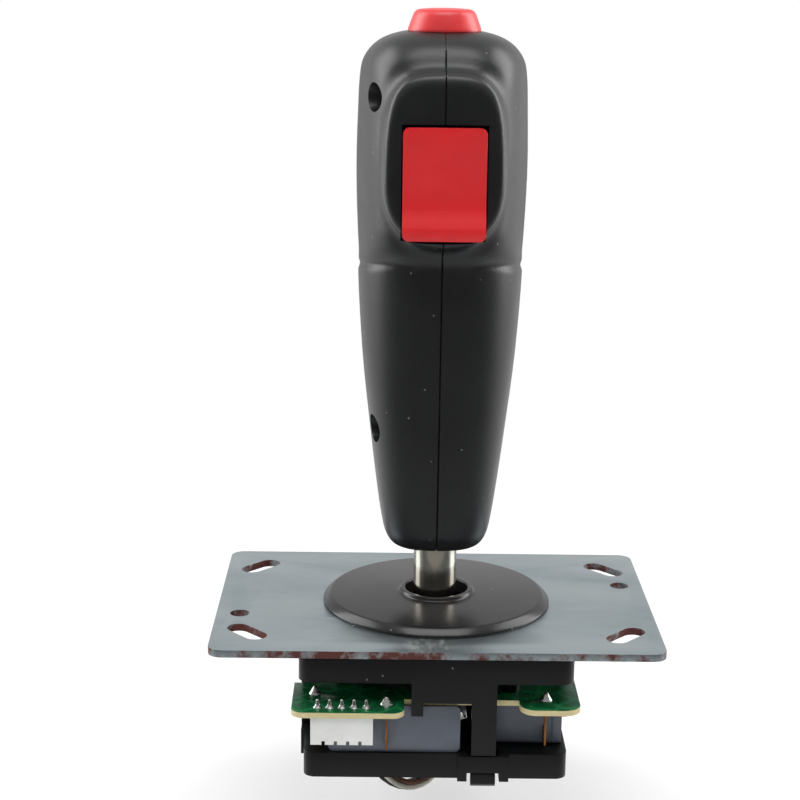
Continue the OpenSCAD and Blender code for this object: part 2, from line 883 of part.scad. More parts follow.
module hub_pins() {
    color("#b9bcbe")
        for (turn = [0, 180])
            rotate([0, 0, turn])
                bar_y(shaft_r + 0.4, hub_pin_end, [0, pivot_z], gimbal_pin_r);
}

module shaft() {
    color("#cfcac0")
        difference() {
            union() {
                bar_z(shaft_low + 0.6, shaft_top, [0, 0], shaft_r);
                translate([0, 0, shaft_low])
                    cylinder(h = 0.6, r1 = shaft_r - 0.6, r2 = shaft_r);
            }
            bar_z(shaft_low - past, shaft_top + past, [0, 0], shaft_bore_r);
            translate([0, 0, groove_top - clip_t - 0.1])
                linear_extrude(clip_t + 0.1)
                    difference() {
                        circle(shaft_r + past);
                        circle(groove_r);
                    }
            bar_x(-shaft_r - past, shaft_r + past, [shaft_pin_y, shaft_pin_z],
                shaft_pin_r + fixed_gap);
        }
}

module actuator() {
    color("#e8e6de")
        difference() {
            bar_z(actuator_low, actuator_top, [0, 0], actuator_r);
            bar_z(actuator_low + cup_floor, actuator_top + past, [0, 0], cup_r);
            bar_z(actuator_low - past, actuator_top, [0, 0], shaft_r + run_gap);
        }
}

module retaining_clip() {
    color("#8d8f90")
        translate([0, 0, groove_top - clip_t - 0.05])
            linear_extrude(clip_t)
                difference() {
                    circle(clip_r);
                    circle(groove_r + run_gap);
                    translate([-groove_r * 0.75, 0])
                        square([groove_r * 1.5, clip_r + past]);
                    for (a = [200, 340])
                        rotate(a)
                            translate([groove_r + 0.4, 0])
                                circle(0.9);
                }
}

module centring_spring() {
    color("#bfc2c4")
        coil_spring(actuator_low + cup_floor + run_gap, spring_plate_low - run_gap,
            spring_low_r, spring_top_r, spring_wire, 5);
}

module shaft_pin() {
    color("#b9bcbe")
        bar_x(-shaft_pin_half, shaft_pin_half, [shaft_pin_y, shaft_pin_z], shaft_pin_r);
}

// Grip

function power_side(v) = sign(v) * pow(abs(v), 2 / section_power);
// Half of one level section of the grip, from its front round to its back, with a strip
// past the seam that the seam's cut takes off
function half_section(row) = let (z = grip_bottom + row[0] * grip_h) concat(
    [[-past, -row[2], z]],
    [for (k = [0 : half_sides]) let (
        a = -90 + 180 * k / half_sides,
        c = k == 0 || k == half_sides ? 0 : power_side(cos(a)),
        s = power_side(sin(a)))
        [grip_half_w * row[1] * c * (1 - row[4] * max(0, -s)),
        s * (s < 0 ? row[2] : row[3]), z]],
    [[-past, row[3], z]]);

// Half of the surround's outline at one depth: an egg, wider low down than at the top
function half_egg(grow, y) = let (
    middle = (boss_low + boss_high) / 2,
    reach = (boss_high - boss_low) / 2 + grow) concat(
    [[-2 * past, y, middle + reach]],
    [for (k = [0 : half_sides]) let (
        a = 90 - 180 * k / half_sides,
        c = k == 0 || k == half_sides ? 0 : cos(a))
        [(boss_half_w + grow) * c * (1 - 0.08 * sin(a)), y, middle + reach * sin(a)]],
    [[-2 * past, y, middle - reach]]);

module half_outside() {
    difference() {
        union() {
            skin([for (row = GRIP_ROWS) half_section(row)]);
            skin([half_egg(-boss_soft * 2, boss_front), half_egg(-boss_soft, boss_front + 0.3),
                half_egg(0, boss_front + 1.2), half_egg(0.8, boss_root)]);
        }
        block([-far, -far, 0], [seam / 2, far, far]);
    }
}

// The hollow of the shells, in steps that follow the outside
module grip_hollow() {
    for (step = HOLLOW)
        translate([0, (step[1] + step[2]) / 2, step[3]])
            linear_extrude(step[4] - step[3])
                rounded_square([2 * step[0], step[2] - step[1]], 6);
}

// What stays solid in the hollow: bosses for the upper screw and walls under the button's
// switch
module grip_ribs() {
    bar_x(-far, far, [high_screw[1], high_screw_z], 3.3);
    block([-far, button_y - 5, button_switch_low - 1.5], [far, button_y + 5, grip_top]);
}

module small_switch_body(grow) {
    cube([small_switch[0] + grow, small_switch[1] + grow, small_switch[2] + grow],
        center = true);
}

module at_trigger_switch() {
    translate([0, switch_face_y + small_switch[1] / 2, presser_z])
        children();
}

module at_button_switch() {
    translate([0, button_y, button_switch_top - small_switch[1] / 2])
        rotate([90, 0, 0])
            children();
}

// The pockets, bores and openings that both shells share
module grip_cuts() {
    half_w = trigger_w / 2 + trigger_gap;
    block([-half_w, -far, trigger_low - trigger_swing_gap],
        [half_w, switch_face_y + 0.3, trigger_top + 2 * trigger_gap]);
    bar_x(-trigger_pin_half - 0.1, trigger_pin_half + 0.1, trigger_axis,
        trigger_pin_r + fixed_gap);
    at_trigger_switch()
        small_switch_body(0.1);
    block([-4, -16, return_z - 2.4], [4, return_seat_y, return_z + 2.4]);
    block([-5, terminal_y - 1.5, presser_z - 2], [5, -5, presser_z + 2]);
    bar_z(button_switch_low - 3, button_switch_top - 1, [0, button_y], lead_r + 0.8);
    at_button_switch()
        small_switch_body(0.1);
    bar_z(button_switch_top - 0.1, grip_top + past, [0, button_y], button_r + button_gap);
    bar_z(flange_top - button_flange_t - button_travel - 0.5, cavity_top, [0, button_y],
        button_flange_r + button_gap);
    bar_z(0, shaft_top + 0.5, [0, 0], shaft_r + fixed_gap);
    bar_z(shaft_top, cavity_low + 1, [0, 0], lead_r + 0.6);
    bar_x(-shaft_pin_half - 0.2, shaft_pin_half + 0.2, [shaft_pin_y, shaft_pin_z],
        shaft_pin_r + fixed_gap);
}

module grip_left() {
    color("#242527")
        difference() {
            mirror([1, 0, 0])
                half_outside();
            difference() {
                grip_hollow();
                grip_ribs();
            }
            grip_cuts();
            for (at = [[low_screw, low_screw_z], [high_screw, high_screw_z]]) {
                bar_x(-far, at[0][0], [at[0][1], at[1]], screw_recess_r);
                bar_x(at[0][0] - past, past, [at[0][1], at[1]], screw_r + run_gap);
            }
        }
}

module grip_right() {
    color("#242527")
        difference() {
            half_outside();
            difference() {
                grip_hollow();
                grip_ribs();
            }
            grip_cuts();
            for (at = [[low_screw, low_screw_z], [high_screw, high_screw_z]])
                bar_x(-past, screw_end + 1, [at[0][1], at[1]], screw_r + run_gap);
        }
}

module grip_screw(seat, z) {
    difference() {
        union() {
            bar_x(seat[0], screw_end, [seat[1], z], screw_r);
            bar_x(seat[0] - screw_head_h, seat[0], [seat[1], z], screw_head_r);
        }
        translate([seat[0] - screw_head_h, seat[1], z])
            for (turn = [0, 90])
                rotate([turn, 0, 0])
                    block([-past, -1.6, -0.35], [1, 1.6, 0.35]);
    }
}

module grip_screws() {
    color("#a8abad") {
        grip_screw(low_screw, low_screw_z);
        grip_screw(high_screw, high_screw_z);
    }
}

// Trigger

// Seen from the side: a dished front that runs out to a lip at the foot, a hub at the pin
// and a presser for the switch
module trigger_profile() {
    polygon(concat([for (p = smooth_line(TRIGGER_FRONT, 3)) [p[0], trigger_low + p[1]]],
        [[trigger_back, trigger_low], [trigger_back, presser_z - 1.3],
        [presser_y, presser_z - 0.9], [presser_y, presser_z + 0.9],
        [trigger_back, presser_z + 1.3], [trigger_back, trigger_top]]));
    translate(trigger_axis)
        circle(trigger_hub_r);
}

module trigger() {
    color("#cf2328")
        difference() {
            intersection() {
                rotate([90, 0, 90])
                    linear_extrude(trigger_w, center = true)
                        trigger_profile();
                translate([0, 0, (trigger_low + trigger_top) / 2])
                    rotate([90, 0, 0])
                        linear_extrude(far, center = true)
                            rounded_square([trigger_w, trigger_h], trigger_corner_r);
            }
            bar_x(-trigger_w, trigger_w, trigger_axis, trigger_pin_r + run_gap);
            bar_y(trigger_back - 0.6, trigger_back + past, [0, return_z], return_r + 0.5);
        }
}

module trigger_pin() {
    color("#b9bcbe")
        bar_x(-trigger_pin_half, trigger_pin_half, trigger_axis, trigger_pin_r);
}

module trigger_spring() {
    length = return_seat_y - trigger_back + 0.5;
    color("#bfc2c4")
        translate([0, trigger_back - 0.5, return_z])
            rotate([-90, 0, 0])
                coil_spring(0, length, return_r, return_r, return_wire, 5);
}

module trigger_switch() {
    color("#26272a")
        difference() {
            union() {
                at_trigger_switch()
                    small_switch_body(0);
                for (x = [-3, 0, 3])
                    block([x - 0.3, switch_face_y + 2, presser_z - 0.8],
                        [x + 0.3, terminal_y, presser_z + 0.8]);
            }
            bar_y(switch_face_y - past, switch_face_y + 3, [0, presser_z],
                small_plunger_r + run_gap);
        }
}

module trigger_plunger() {
    color("#8c1f1f")
        bar_y(presser_y + trigger_gap, switch_face_y + 1.5, [0, presser_z], small_plunger_r);
}

// Thumb button

module top_button() {
    top = grip_top + button_h;
    color("#d8282d")
        translate([0, button_y, 0])
            rotate_extrude()
                polygon(concat([
                    [0, stem_low], [button_stem_r, stem_low],
                    [button_stem_r, button_inner_top],
                    [button_r - button_skirt, button_inner_top],
                    [button_r - button_skirt, flange_top - button_flange_t],
                    [button_flange_r, flange_top - button_flange_t],
                    [button_flange_r, flange_top], [button_r, flange_top],
                    [button_r, grip_top + 0.6]],
                    [for (a = [10 : 20 : 90])
                        [button_top_r + (button_r - 0.9 - button_top_r) * cos(a),
                        top - 1.2 + 1.2 * sin(a)]],
                    [[0, top + 0.25]]));
}

module button_spring() {
    color("#bfc2c4")
        translate([0, button_y, 0])
            coil_spring(button_switch_top + run_gap, button_inner_top - run_gap,
                button_spring_r, button_spring_r, button_wire, 6);
}

module button_switch() {
    color("#26272a")
        difference() {
            at_button_switch()
                small_switch_body(0);
            bar_z(button_switch_top - 3, button_switch_top + past, [0, button_y],
                small_plunger_r + run_gap);
        }
}

module button_plunger() {
    color("#8c1f1f")
        bar_z(button_switch_top - 1.5, button_switch_top + small_out, [0, button_y],
            small_plunger_r);
}

// Leads

module grip_leads() {
    color("#2b2b2b")
        tube(smooth_line(GRIP_LEAD, 3), lead_r, lead_sides, [1, 0, 0]);
}

module lead_loop() {
    color("#2b2b2b")
        tube(smooth_line(FREE_LEAD, 3), lead_r, lead_sides, [1, 0, 0]);
}

module lead_hank() {
    color("#2b2b2b")
        translate([0, hank_y + hank_t, hank_z])
            rotate([90, 0, 0])
                linear_extrude(hank_t) {
                    for (s = [-1, 1])
                        translate([s * hank_run / 2, 0])
                            circle(hank_half);
                    square([hank_run, 2 * hank_half], center = true);
                }
}

module lead_tie() {
    inner = [hank_t + 2 * run_gap, 2 * hank_half + 2 * run_gap];
    color("#101010")
        translate([0, hank_y + hank_t / 2, hank_z])
            rotate([90, 0, 90])
                linear_extrude(tie_w, center = true)
                    difference() {
                        square([inner[0] + 2 * tie_t, inner[1] + 2 * tie_t], center = true);
                        square(inner, center = true);
                    }
}

module lead_tail() {
    color("#2b2b2b")
        tube(TAIL, lead_r, lead_sides, [1, 0, 0]);
}

module lead_plug() {
    color("#e9e9e6")
        translate([TAIL[2][0] - plug_size[0] / 2, TAIL[2][1] - plug_size[1] / 2,
            TAIL[2][2] - plug_size[2]])
            cube(plug_size);
}

mounting_plate();
plate_screws();
dust_washer();
housing();
spring_plate();
circuit_board();
solder_joints();
header_shell();
header_pins();
switch_front();
switch_right();
switch_rear();
switch_left();
plunger_front();
plunger_right();
plunger_rear();
plunger_left();
switch_terminals();
gate();
gimbal_ring();
ring_pins();
pivot_hub();
hub_pins();
shaft();
actuator();
retaining_clip();
centring_spring();
shaft_pin();
grip_left();
grip_right();
grip_screws();
trigger();
trigger_pin();
trigger_spring();
trigger_switch();
trigger_plunger();
top_button();
button_spring();
button_switch();
button_plunger();
grip_leads();
lead_loop();
lead_hank();
lead_tie();
lead_tail();
lead_plug();
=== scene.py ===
# An arcade joystick with a pistol grip on its zinc mounting plate, dressed over the packed
# frame. Lengths are in metres, the lever's axis is Z, and the trigger faces -Y.
import math

import bmesh
import bpy
from mathutils import Matrix, Vector


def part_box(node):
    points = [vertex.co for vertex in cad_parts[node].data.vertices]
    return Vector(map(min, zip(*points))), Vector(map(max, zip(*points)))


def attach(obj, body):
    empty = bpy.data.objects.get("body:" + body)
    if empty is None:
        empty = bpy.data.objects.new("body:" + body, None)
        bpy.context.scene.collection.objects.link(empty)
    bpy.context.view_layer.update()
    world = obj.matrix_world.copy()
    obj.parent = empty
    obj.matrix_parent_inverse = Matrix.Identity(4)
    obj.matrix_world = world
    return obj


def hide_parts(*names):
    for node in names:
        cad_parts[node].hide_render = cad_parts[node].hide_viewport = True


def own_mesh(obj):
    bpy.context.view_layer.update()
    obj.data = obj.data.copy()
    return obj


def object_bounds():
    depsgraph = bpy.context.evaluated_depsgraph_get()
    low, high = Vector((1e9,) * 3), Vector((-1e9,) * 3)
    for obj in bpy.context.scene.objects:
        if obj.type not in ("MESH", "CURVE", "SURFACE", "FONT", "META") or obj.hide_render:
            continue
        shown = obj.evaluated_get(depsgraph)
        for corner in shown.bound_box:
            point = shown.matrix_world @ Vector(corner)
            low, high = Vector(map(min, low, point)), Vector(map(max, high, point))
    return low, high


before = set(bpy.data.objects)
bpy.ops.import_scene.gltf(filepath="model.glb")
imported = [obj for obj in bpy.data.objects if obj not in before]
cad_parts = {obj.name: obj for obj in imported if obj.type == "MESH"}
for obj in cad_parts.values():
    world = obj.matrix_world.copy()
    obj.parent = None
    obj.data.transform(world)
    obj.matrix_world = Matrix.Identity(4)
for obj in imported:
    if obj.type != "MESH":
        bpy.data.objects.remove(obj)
cad_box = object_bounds()
mm = 0.001


# Camera. It stands in front of the trigger, level with the top of the grip, and looks a
# little down on the plate, as the photograph does.
optics = bpy.data.cameras.new("photo_camera")
optics.lens = 82.61
optics.sensor_width = 36
optics.clip_start = 0.01
camera = bpy.data.objects.new("photo_camera", optics)
camera.matrix_world = (
    Matrix.Translation((-0.0111, -0.3869, 0.1382))
    @ Matrix.Rotation(math.radians(-0.43), 4, "Z")
    @ Matrix.Rotation(math.radians(90 - 13.482), 4, "X")
    @ Matrix.Rotation(math.radians(0.75), 4, "Z")
)
bpy.context.scene.collection.objects.link(camera)
bpy.context.scene.camera = camera
bpy.context.scene.view_settings.view_transform = "Standard"


# Leads. Four thin wires in soft covers, twisted loosely together. They leave the shaft's
# lower end and swing round under the gate to the back of the base, where their spare
# length is folded into a hank. A strap holds it, and the plug hangs under it.
def point(x, y, z):
    """A point given in millimetres."""
    return Vector((x, y, z)) * mm


def smooth_line(points, steps):
    """A smooth line through the points, with a number of steps to each stretch."""
    line = []
    for i in range(len(points) - 1):
        a, b = points[max(i - 1, 0)], points[i]
        c, d = points[i + 1], points[min(i + 2, len(points) - 1)]
        for k in range(steps):
            t = k / steps
            line.append(
                (b * 2 + (c - a) * t + (a * 2 - b * 5 + c * 4 - d) * t * t
                 + (b * 3 - a - c * 3 + d) * t * t * t) / 2
            )
    return line + [points[-1]]


free_lead = [
    (0, 0, -30.5), (1.5, 0, -35), (1.5, 0, -39), (-1, 0, -43), (-5.5, 0.5, -45),
    (-10.5, 2.5, -43.6), (-15, 8, -40.5), (-18.5, 15, -37.6), (-19, 22.5, -35.4),
    (-16.5, 28, -33.8), (-12.5, 31.7, -32.9),
]
hank_middle = -23.3
fold_r = 9.6
half_run = 16
layers = [33.1, 36.5]


def hank_point(way):
    """A place on the hank after that many millimetres of lead from its lower run's middle."""
    round_fold = math.pi * fold_r
    once = 4 * half_run + 2 * round_fold
    turn, s = divmod(way, once)
    if s < half_run:
        x, z = s, -fold_r
    elif s < half_run + round_fold:
        a = (s - half_run) / fold_r - math.pi / 2
        x, z = half_run + fold_r * math.cos(a), fold_r * math.sin(a)
    elif s < 3 * half_run + round_fold:
        x, z = half_run - (s - half_run - round_fold), fold_r
    elif s < 3 * half_run + 2 * round_fold:
        a = (s - 3 * half_run - round_fold) / fold_r + math.pi / 2
        x, z = -half_run + fold_r * math.cos(a), fold_r * math.sin(a)
    else:
        x, z = s - once, -fold_r
    shift = (way - 93.5) / 13
    shift = max(0, min(1, shift))
    shift = shift * shift * (3 - 2 * shift)
    return (x, layers[0] + (layers[1] - layers[0]) * shift, hank_middle + z)


ways = [-7 + 3.2 * k for k in range(70)]
lead_tail = [
    (-25.9, 36.5, -26.5), (-26, 36.5, -29.6), (-24.3, 36.3, -33.4), (-20.6, 35.9, -36.3),
    (-15, 35.5, -37.3), (-8, 35, -37.3), (-2, 35, -37.2), (3.2, 35, -37.3),
    (7.7, 35, -39), (9.8, 35, -42), (10, 35, -43.6),
]
route = [point(*p) for p in free_lead + [hank_point(w) for w in ways] + lead_tail]
route = smooth_line(route, 3)


def square_frames(line, first):
    """For each point of a line its direction and two directions square to it, untwisted."""
    frames = []
    side = Vector(first)
    for i, p in enumerate(line):
        ahead = (line[min(i + 1, len(line) - 1)] - line[max(i - 1, 0)]).normalized()
        side = (side - ahead * side.dot(ahead)).normalized()
        frames.append((ahead, side, ahead.cross(side)))
    return frames


def wires(name, line, count, offset, radius, pitch, start=0, sides=10):
    """Round wires twisted about a line from a start turn, each with its own material index."""
    build = bmesh.new()
    frames = square_frames(line, (1, 0, 0))
    for j in range(count):
        way, rings = 0, []
        for i, p in enumerate(line):
            way += (p - line[i - 1]).length if i else 0
            ahead, side, up = frames[i]
            a = 2 * math.pi * (j / count + way / pitch + start)
            wander = 1 + 0.09 * math.sin(170 * way + 2 * j)
            middle = p + (side * math.cos(a) + up * math.sin(a)) * offset * wander
            rings.append([
                build.verts.new(middle + (side * math.cos(b) + up * math.sin(b)) * radius)
                for b in (2 * math.pi * k / sides for k in range(sides))
            ])
        for low, high in zip(rings, rings[1:]):
            for k in range(sides):
                face = build.faces.new((
                    low[k], low[(k + 1) % sides], high[(k + 1) % sides], high[k]))
                face.material_index = j
        for cap in (list(reversed(rings[0])), rings[-1]):
            build.faces.new(cap).material_index = j
    mesh = bpy.data.meshes.new(name)
    build.to_mesh(mesh)
    build.free()
    mesh.shade_smooth()
    piece = bpy.data.objects.new(name, mesh)
    bpy.context.scene.collection.objects.link(piece)
    return piece


def colour(red, green, blue):
    """A colour as a screen shows it, from 0 to 255, made linear for a shader."""
    parts = [v / 255 for v in (red, green, blue)]
    return (*[v / 12.92 if v <= 0.04045 else ((v + 0.055) / 1.055) ** 2.4 for v in parts], 1)


def put(tree, kind, inputs=(), **settings):
    """Adds a node, sets its properties, and fills its inputs with values or links."""
    added = tree.nodes.new("ShaderNode" + kind)
    for label, value in settings.items():
        setattr(added, label, value)
    for label, value in dict(inputs).items():
        if isinstance(value, bpy.types.NodeSocket):
            tree.links.new(value, added.inputs[label])
        else:
            added.inputs[label].default_value = value
    return added


def effect(name, inputs, outputs):
    """An empty node group with named sockets, and what it is given and gives back."""
    tree = bpy.data.node_groups.new(name, "ShaderNodeTree")
    for label, kind in inputs:
        tree.interface.new_socket(label, in_out="INPUT", socket_type="NodeSocket" + kind)
    for label, kind in outputs:
        tree.interface.new_socket(label, in_out="OUTPUT", socket_type="NodeSocket" + kind)
    given = tree.nodes.new("NodeGroupInput").outputs
    result = tree.nodes.new("NodeGroupOutput").inputs
    return tree, given, result


def blend_colours(tree, share, low, high):
    """Mixes two colours by a share from 0 to 1."""
    mix = put(tree, "Mix", {0: share, 6: low, 7: high}, data_type="RGBA")
    return mix.outputs[2]


# Clouded colour and gloss with a fine grain, which every finish here has at its own scale
clouded, given, result = effect(
    "clouded_finish",
    [("Vector", "Vector"), ("Colour", "Color"), ("Second Colour", "Color"),
     ("Patch Scale", "Float"), ("Grain Scale", "Float"), ("Roughness", "Float"),
     ("Spread", "Float")],
    [("Colour", "Color"), ("Roughness", "Float"), ("Grain", "Float")],
)
patches = put(clouded, "TexNoise", {
    "Vector": given["Vector"], "Scale": given["Patch Scale"], "Detail": 5.0,
    "Roughness": 0.6}).outputs["Fac"]
share = put(clouded, "MapRange", {
    "Value": patches, "From Min": 0.34, "From Max": 0.66}).outputs["Result"]
clouded.links.new(
    blend_colours(clouded, share, given["Colour"], given["Second Colour"]), result["Colour"])
gloss = put(clouded, "TexNoise", {
    "Vector": given["Vector"], "Scale": given["Patch Scale"], "Detail": 7.0,
    "Roughness": 0.7, "Distortion": 0.6}).outputs["Fac"]
lowest = put(clouded, "Math", {0: given["Roughness"], 1: given["Spread"]},
             operation="SUBTRACT").outputs[0]
highest = put(clouded, "Math", {0: given["Roughness"], 1: given["Spread"]},
              operation="ADD").outputs[0]
clouded.links.new(put(clouded, "MapRange", {
    "Value": gloss, "From Min": 0.3, "From Max": 0.7, "To Min": lowest,
    "To Max": highest}).outputs["Result"], result["Roughness"])
clouded.links.new(put(clouded, "TexNoise", {
    "Vector": given["Vector"], "Scale": given["Grain Scale"], "Detail": 3.0,
    }).outputs["Fac"], result["Grain"])

# Small pale specks that have settled on a dark surface
specks, given, result = effect(
    "dust_specks",
    [("Vector", "Vector"), ("Colour", "Color"), ("Dust Colour", "Color"),
     ("Scale", "Float"), ("Amount", "Float")],
    [("Colour", "Color"), ("Mask", "Float")],
)
cells = put(specks, "TexVoronoi", {"Vector": given["Vector"], "Scale": given["Scale"]})
near = put(specks, "MapRange", {
    "Value": cells.outputs["Distance"], "From Min": 0.07, "From Max": 0.17,
    "To Min": 1.0, "To Max": 0.0}).outputs["Result"]
drawn = put(specks, "SeparateColor", {0: cells.outputs["Color"]}).outputs[0]
kept = put(specks, "Math", {0: drawn, 1: given["Amount"]}, operation="LESS_THAN").outputs[0]
mask = put(specks, "Math", {0: near, 1: kept}, operation="MULTIPLY").outputs[0]
specks.links.new(mask, result["Mask"])
specks.links.new(
    blend_colours(specks, mask, given["Colour"], given["Dust Colour"]), result["Colour"])


class Finish:
    """A material with clouded colour and gloss, a fine grain and perhaps dust."""

    def __init__(self, name, main, second, rough, spread=0.05, patch=45.0, grain=2500.0,
                 depth=0.02, metallic=0.0, stretch=None, dust=0.0, shine=0.5):
        self.material = bpy.data.materials.new(name)
        self.material.use_nodes = True
        self.tree = self.material.node_tree
        self.shader = self.tree.nodes["Principled BSDF"]
        self.shader.inputs["Metallic"].default_value = metallic
        self.shader.inputs["Specular IOR Level"].default_value = shine
        self.coordinates = put(self.tree, "TexCoord").outputs
        self.place = self.coordinates["Object"]
        if stretch:
            self.place = put(self.tree, "Mapping", {
                "Vector": self.place, "Scale": stretch}).outputs["Vector"]
        surface = put(self.tree, "Group", node_tree=clouded)
        self.tree.links.new(self.place, surface.inputs["Vector"])
        for label, value in (("Colour", main), ("Second Colour", second),
                             ("Patch Scale", patch), ("Grain Scale", grain),
                             ("Roughness", rough), ("Spread", spread)):
            surface.inputs[label].default_value = value
        self.colour = surface.outputs["Colour"]
        self.roughness = surface.outputs["Roughness"]
        self.height = surface.outputs["Grain"]
        self.depth = depth
        if dust:
            laid = put(self.tree, "Group", node_tree=specks)
            self.tree.links.new(self.coordinates["Object"], laid.inputs["Vector"])
            self.tree.links.new(self.colour, laid.inputs["Colour"])
            laid.inputs["Dust Colour"].default_value = colour(112, 110, 105)
            laid.inputs["Scale"].default_value = 620
            laid.inputs["Amount"].default_value = dust
            self.colour = laid.outputs["Colour"]

    def done(self):
        """Joins what has been built up to the shader, and gives the material."""
        bump = put(self.tree, "Bump", {
            "Height": self.height, "Strength": 0.6, "Distance": self.depth * mm})
        self.tree.links.new(self.colour, self.shader.inputs["Base Color"])
        self.tree.links.new(self.roughness, self.shader.inputs["Roughness"])
        self.tree.links.new(bump.outputs["Normal"], self.shader.inputs["Normal"])
        return self.material


def only(piece):
    """Selects this object alone and makes it the active one."""
    bpy.ops.object.select_all(action="DESELECT")
    piece.select_set(True)
    bpy.context.view_layer.objects.active = piece
    return piece


def softened(node, name, width, angle=40, segments=3):
    """A copy of a CAD node's mesh with its sharp edges rounded off."""
    piece = bpy.data.objects.new(name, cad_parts[node].data.copy())
    bpy.context.scene.collection.objects.link(piece)
    only(piece)
    if piece.data.has_custom_normals:
        bpy.ops.mesh.customdata_custom_splitnormals_clear()
    bpy.ops.object.mode_set(mode="EDIT")
    bpy.ops.mesh.select_all(action="SELECT")
    bpy.ops.mesh.remove_doubles(threshold=0.000002)
    bpy.ops.mesh.dissolve_limited(angle_limit=math.radians(0.5))
    bpy.ops.object.mode_set(mode="OBJECT")
    rounding = piece.modifiers.new("rounding", "BEVEL")
    rounding.width = width * mm
    rounding.segments = segments
    rounding.limit_method = "ANGLE"
    rounding.angle_limit = math.radians(angle)
    bpy.ops.object.modifier_apply(modifier="rounding")
    bpy.ops.object.shade_smooth_by_angle(angle=math.radians(35))
    return piece


def dress(piece, material, body, slot, *nodes):
    """Gives a piece and its CAD nodes a material, and the piece its body. The slot is not used.
    """
    hidden = [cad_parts[node] for node in nodes]
    for item in [piece] * bool(material) + hidden:
        item.data.materials.clear()
        item.data.materials.append(material or piece.data.materials[0])
    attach(piece, body)
    if nodes:
        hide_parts(*nodes)
    return piece


def picked(piece, kind, test):
    """Opens a piece for editing with the edges or faces that pass a test selected."""
    only(piece)
    bpy.ops.object.mode_set(mode="EDIT")
    bpy.ops.mesh.select_mode(type=kind)
    bpy.ops.mesh.select_all(action="DESELECT")
    build = bmesh.from_edit_mesh(piece.data)
    for item in build.edges if kind == "EDGE" else build.faces:
        if test(item):
            item.select_set(True)
    bmesh.update_edit_mesh(piece.data)


def keep(node, material):
    """A CAD node that stays as it is, in a material of its own."""
    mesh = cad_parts[node].data
    mesh.materials.clear()
    mesh.materials.append(material)


leads = wires("leads", route, 4, 0.84 * mm, 0.62 * mm, 31 * mm, 0.35)
for name, main, second in (
        ("black_cover", colour(30, 30, 32), colour(40, 40, 42)),
        ("white_cover", colour(205, 202, 190), colour(188, 184, 170)),
        ("brown_cover", colour(92, 58, 40), colour(78, 48, 33)),
        ("dark_cover", colour(34, 32, 33), colour(24, 23, 24))):
    leads.data.materials.append(
        Finish(name, main, second, 0.42, patch=300.0, grain=3000.0).done())
dress(leads, None, "base", "lead_cover", "lead_loop", "lead_hank", "lead_tail")

strap_plastic = Finish("strap_plastic", colour(20, 20, 21), colour(28, 28, 30), 0.5,
                       patch=200.0, grain=3500.0, depth=0.03).done()
strap = dress(softened("lead_tie", "lead_strap", 0.25), strap_plastic, "base",
              "black_plastic", "lead_tie")

plug_plastic = Finish("plug_plastic", colour(228, 226, 218), colour(218, 215, 205), 0.45,
                      patch=160.0, grain=2600.0, depth=0.03).done()
plug = softened("lead_plug", "plug_shell", 0.5)
picked(plug, "FACE", lambda face: face.normal.z < -0.9 or abs(face.normal.y) > 0.9)
bpy.ops.mesh.inset(thickness=0.9 * mm, depth=-0.5 * mm)
bpy.ops.object.mode_set(mode="OBJECT")
dress(plug, plug_plastic, "base", "white_plastic", "lead_plug")


# Studio. White paper under the lowest piece and pale air all round it. Two wide soft lamps
# at the sides light the flanks of the grip, and a weaker one hangs over its front.
def plain_stage(name, size, place, turn):
    """A large flat sheet of the studio, out of the object."""
    bpy.ops.object.select_all(action="DESELECT")
    bpy.ops.mesh.primitive_plane_add(size=size, location=place, rotation=turn)
    sheet = bpy.context.object
    sheet.name = name
    return sheet


paper = bpy.data.materials.new("studio_paper")
paper.use_nodes = True
tree = paper.node_tree
tree.nodes["Principled BSDF"].inputs["Roughness"].default_value = 0.9
grain = put(tree, "TexNoise", {
    "Vector": put(tree, "TexCoord").outputs["Object"], "Scale": 900.0}).outputs["Fac"]
tree.links.new(
    blend_colours(tree, grain, colour(246, 246, 246), colour(250, 250, 250)),
    tree.nodes["Principled BSDF"].inputs["Base Color"])
rays = put(tree, "LightPath").outputs
seen = put(tree, "Math", {0: rays["Is Camera Ray"], 1: rays["Is Glossy Ray"]},
           operation="MAXIMUM").outputs[0]
seen = put(tree, "Math", {0: seen, 1: rays["Is Transmission Ray"]},
           operation="MAXIMUM").outputs[0]
far_off = put(tree, "VectorMath", {0: put(tree, "TexCoord").outputs["Object"]},
              operation="LENGTH").outputs["Value"]
far_off = put(tree, "MapRange", {
    "Value": far_off, "From Min": 0.06, "From Max": 0.32, "To Min": 0.5,
    "To Max": 1.0}).outputs["Result"]
# The paper is darker in front for mirrored rays, which keeps the grip's front dark
ahead = put(tree, "SeparateXYZ", {0: put(tree, "TexCoord").outputs["Object"]}).outputs["Y"]
ahead = put(tree, "MapRange", {
    "Value": ahead, "From Min": -0.12, "From Max": 0.1, "To Min": 0.16,
    "To Max": 1.0}).outputs["Result"]
ahead = put(tree, "Mix", {0: rays["Is Glossy Ray"], 2: 1.0, 3: ahead}).outputs[0]
part = put(tree, "Math", {0: seen, 1: far_off}, operation="MULTIPLY").outputs[0]
white = put(tree, "Emission", {"Color": (1, 1, 1, 1), "Strength": ahead}).outputs[0]
both = put(tree, "MixShader", {
    0: part, 1: tree.nodes["Principled BSDF"].outputs[0], 2: white}).outputs[0]
tree.links.new(both, tree.nodes["Material Output"].inputs["Surface"])

floor = plain_stage("floor", 8, (0, 0, cad_box[0].z - 0.0004), (0, 0, 0))
floor.data.materials.append(paper)

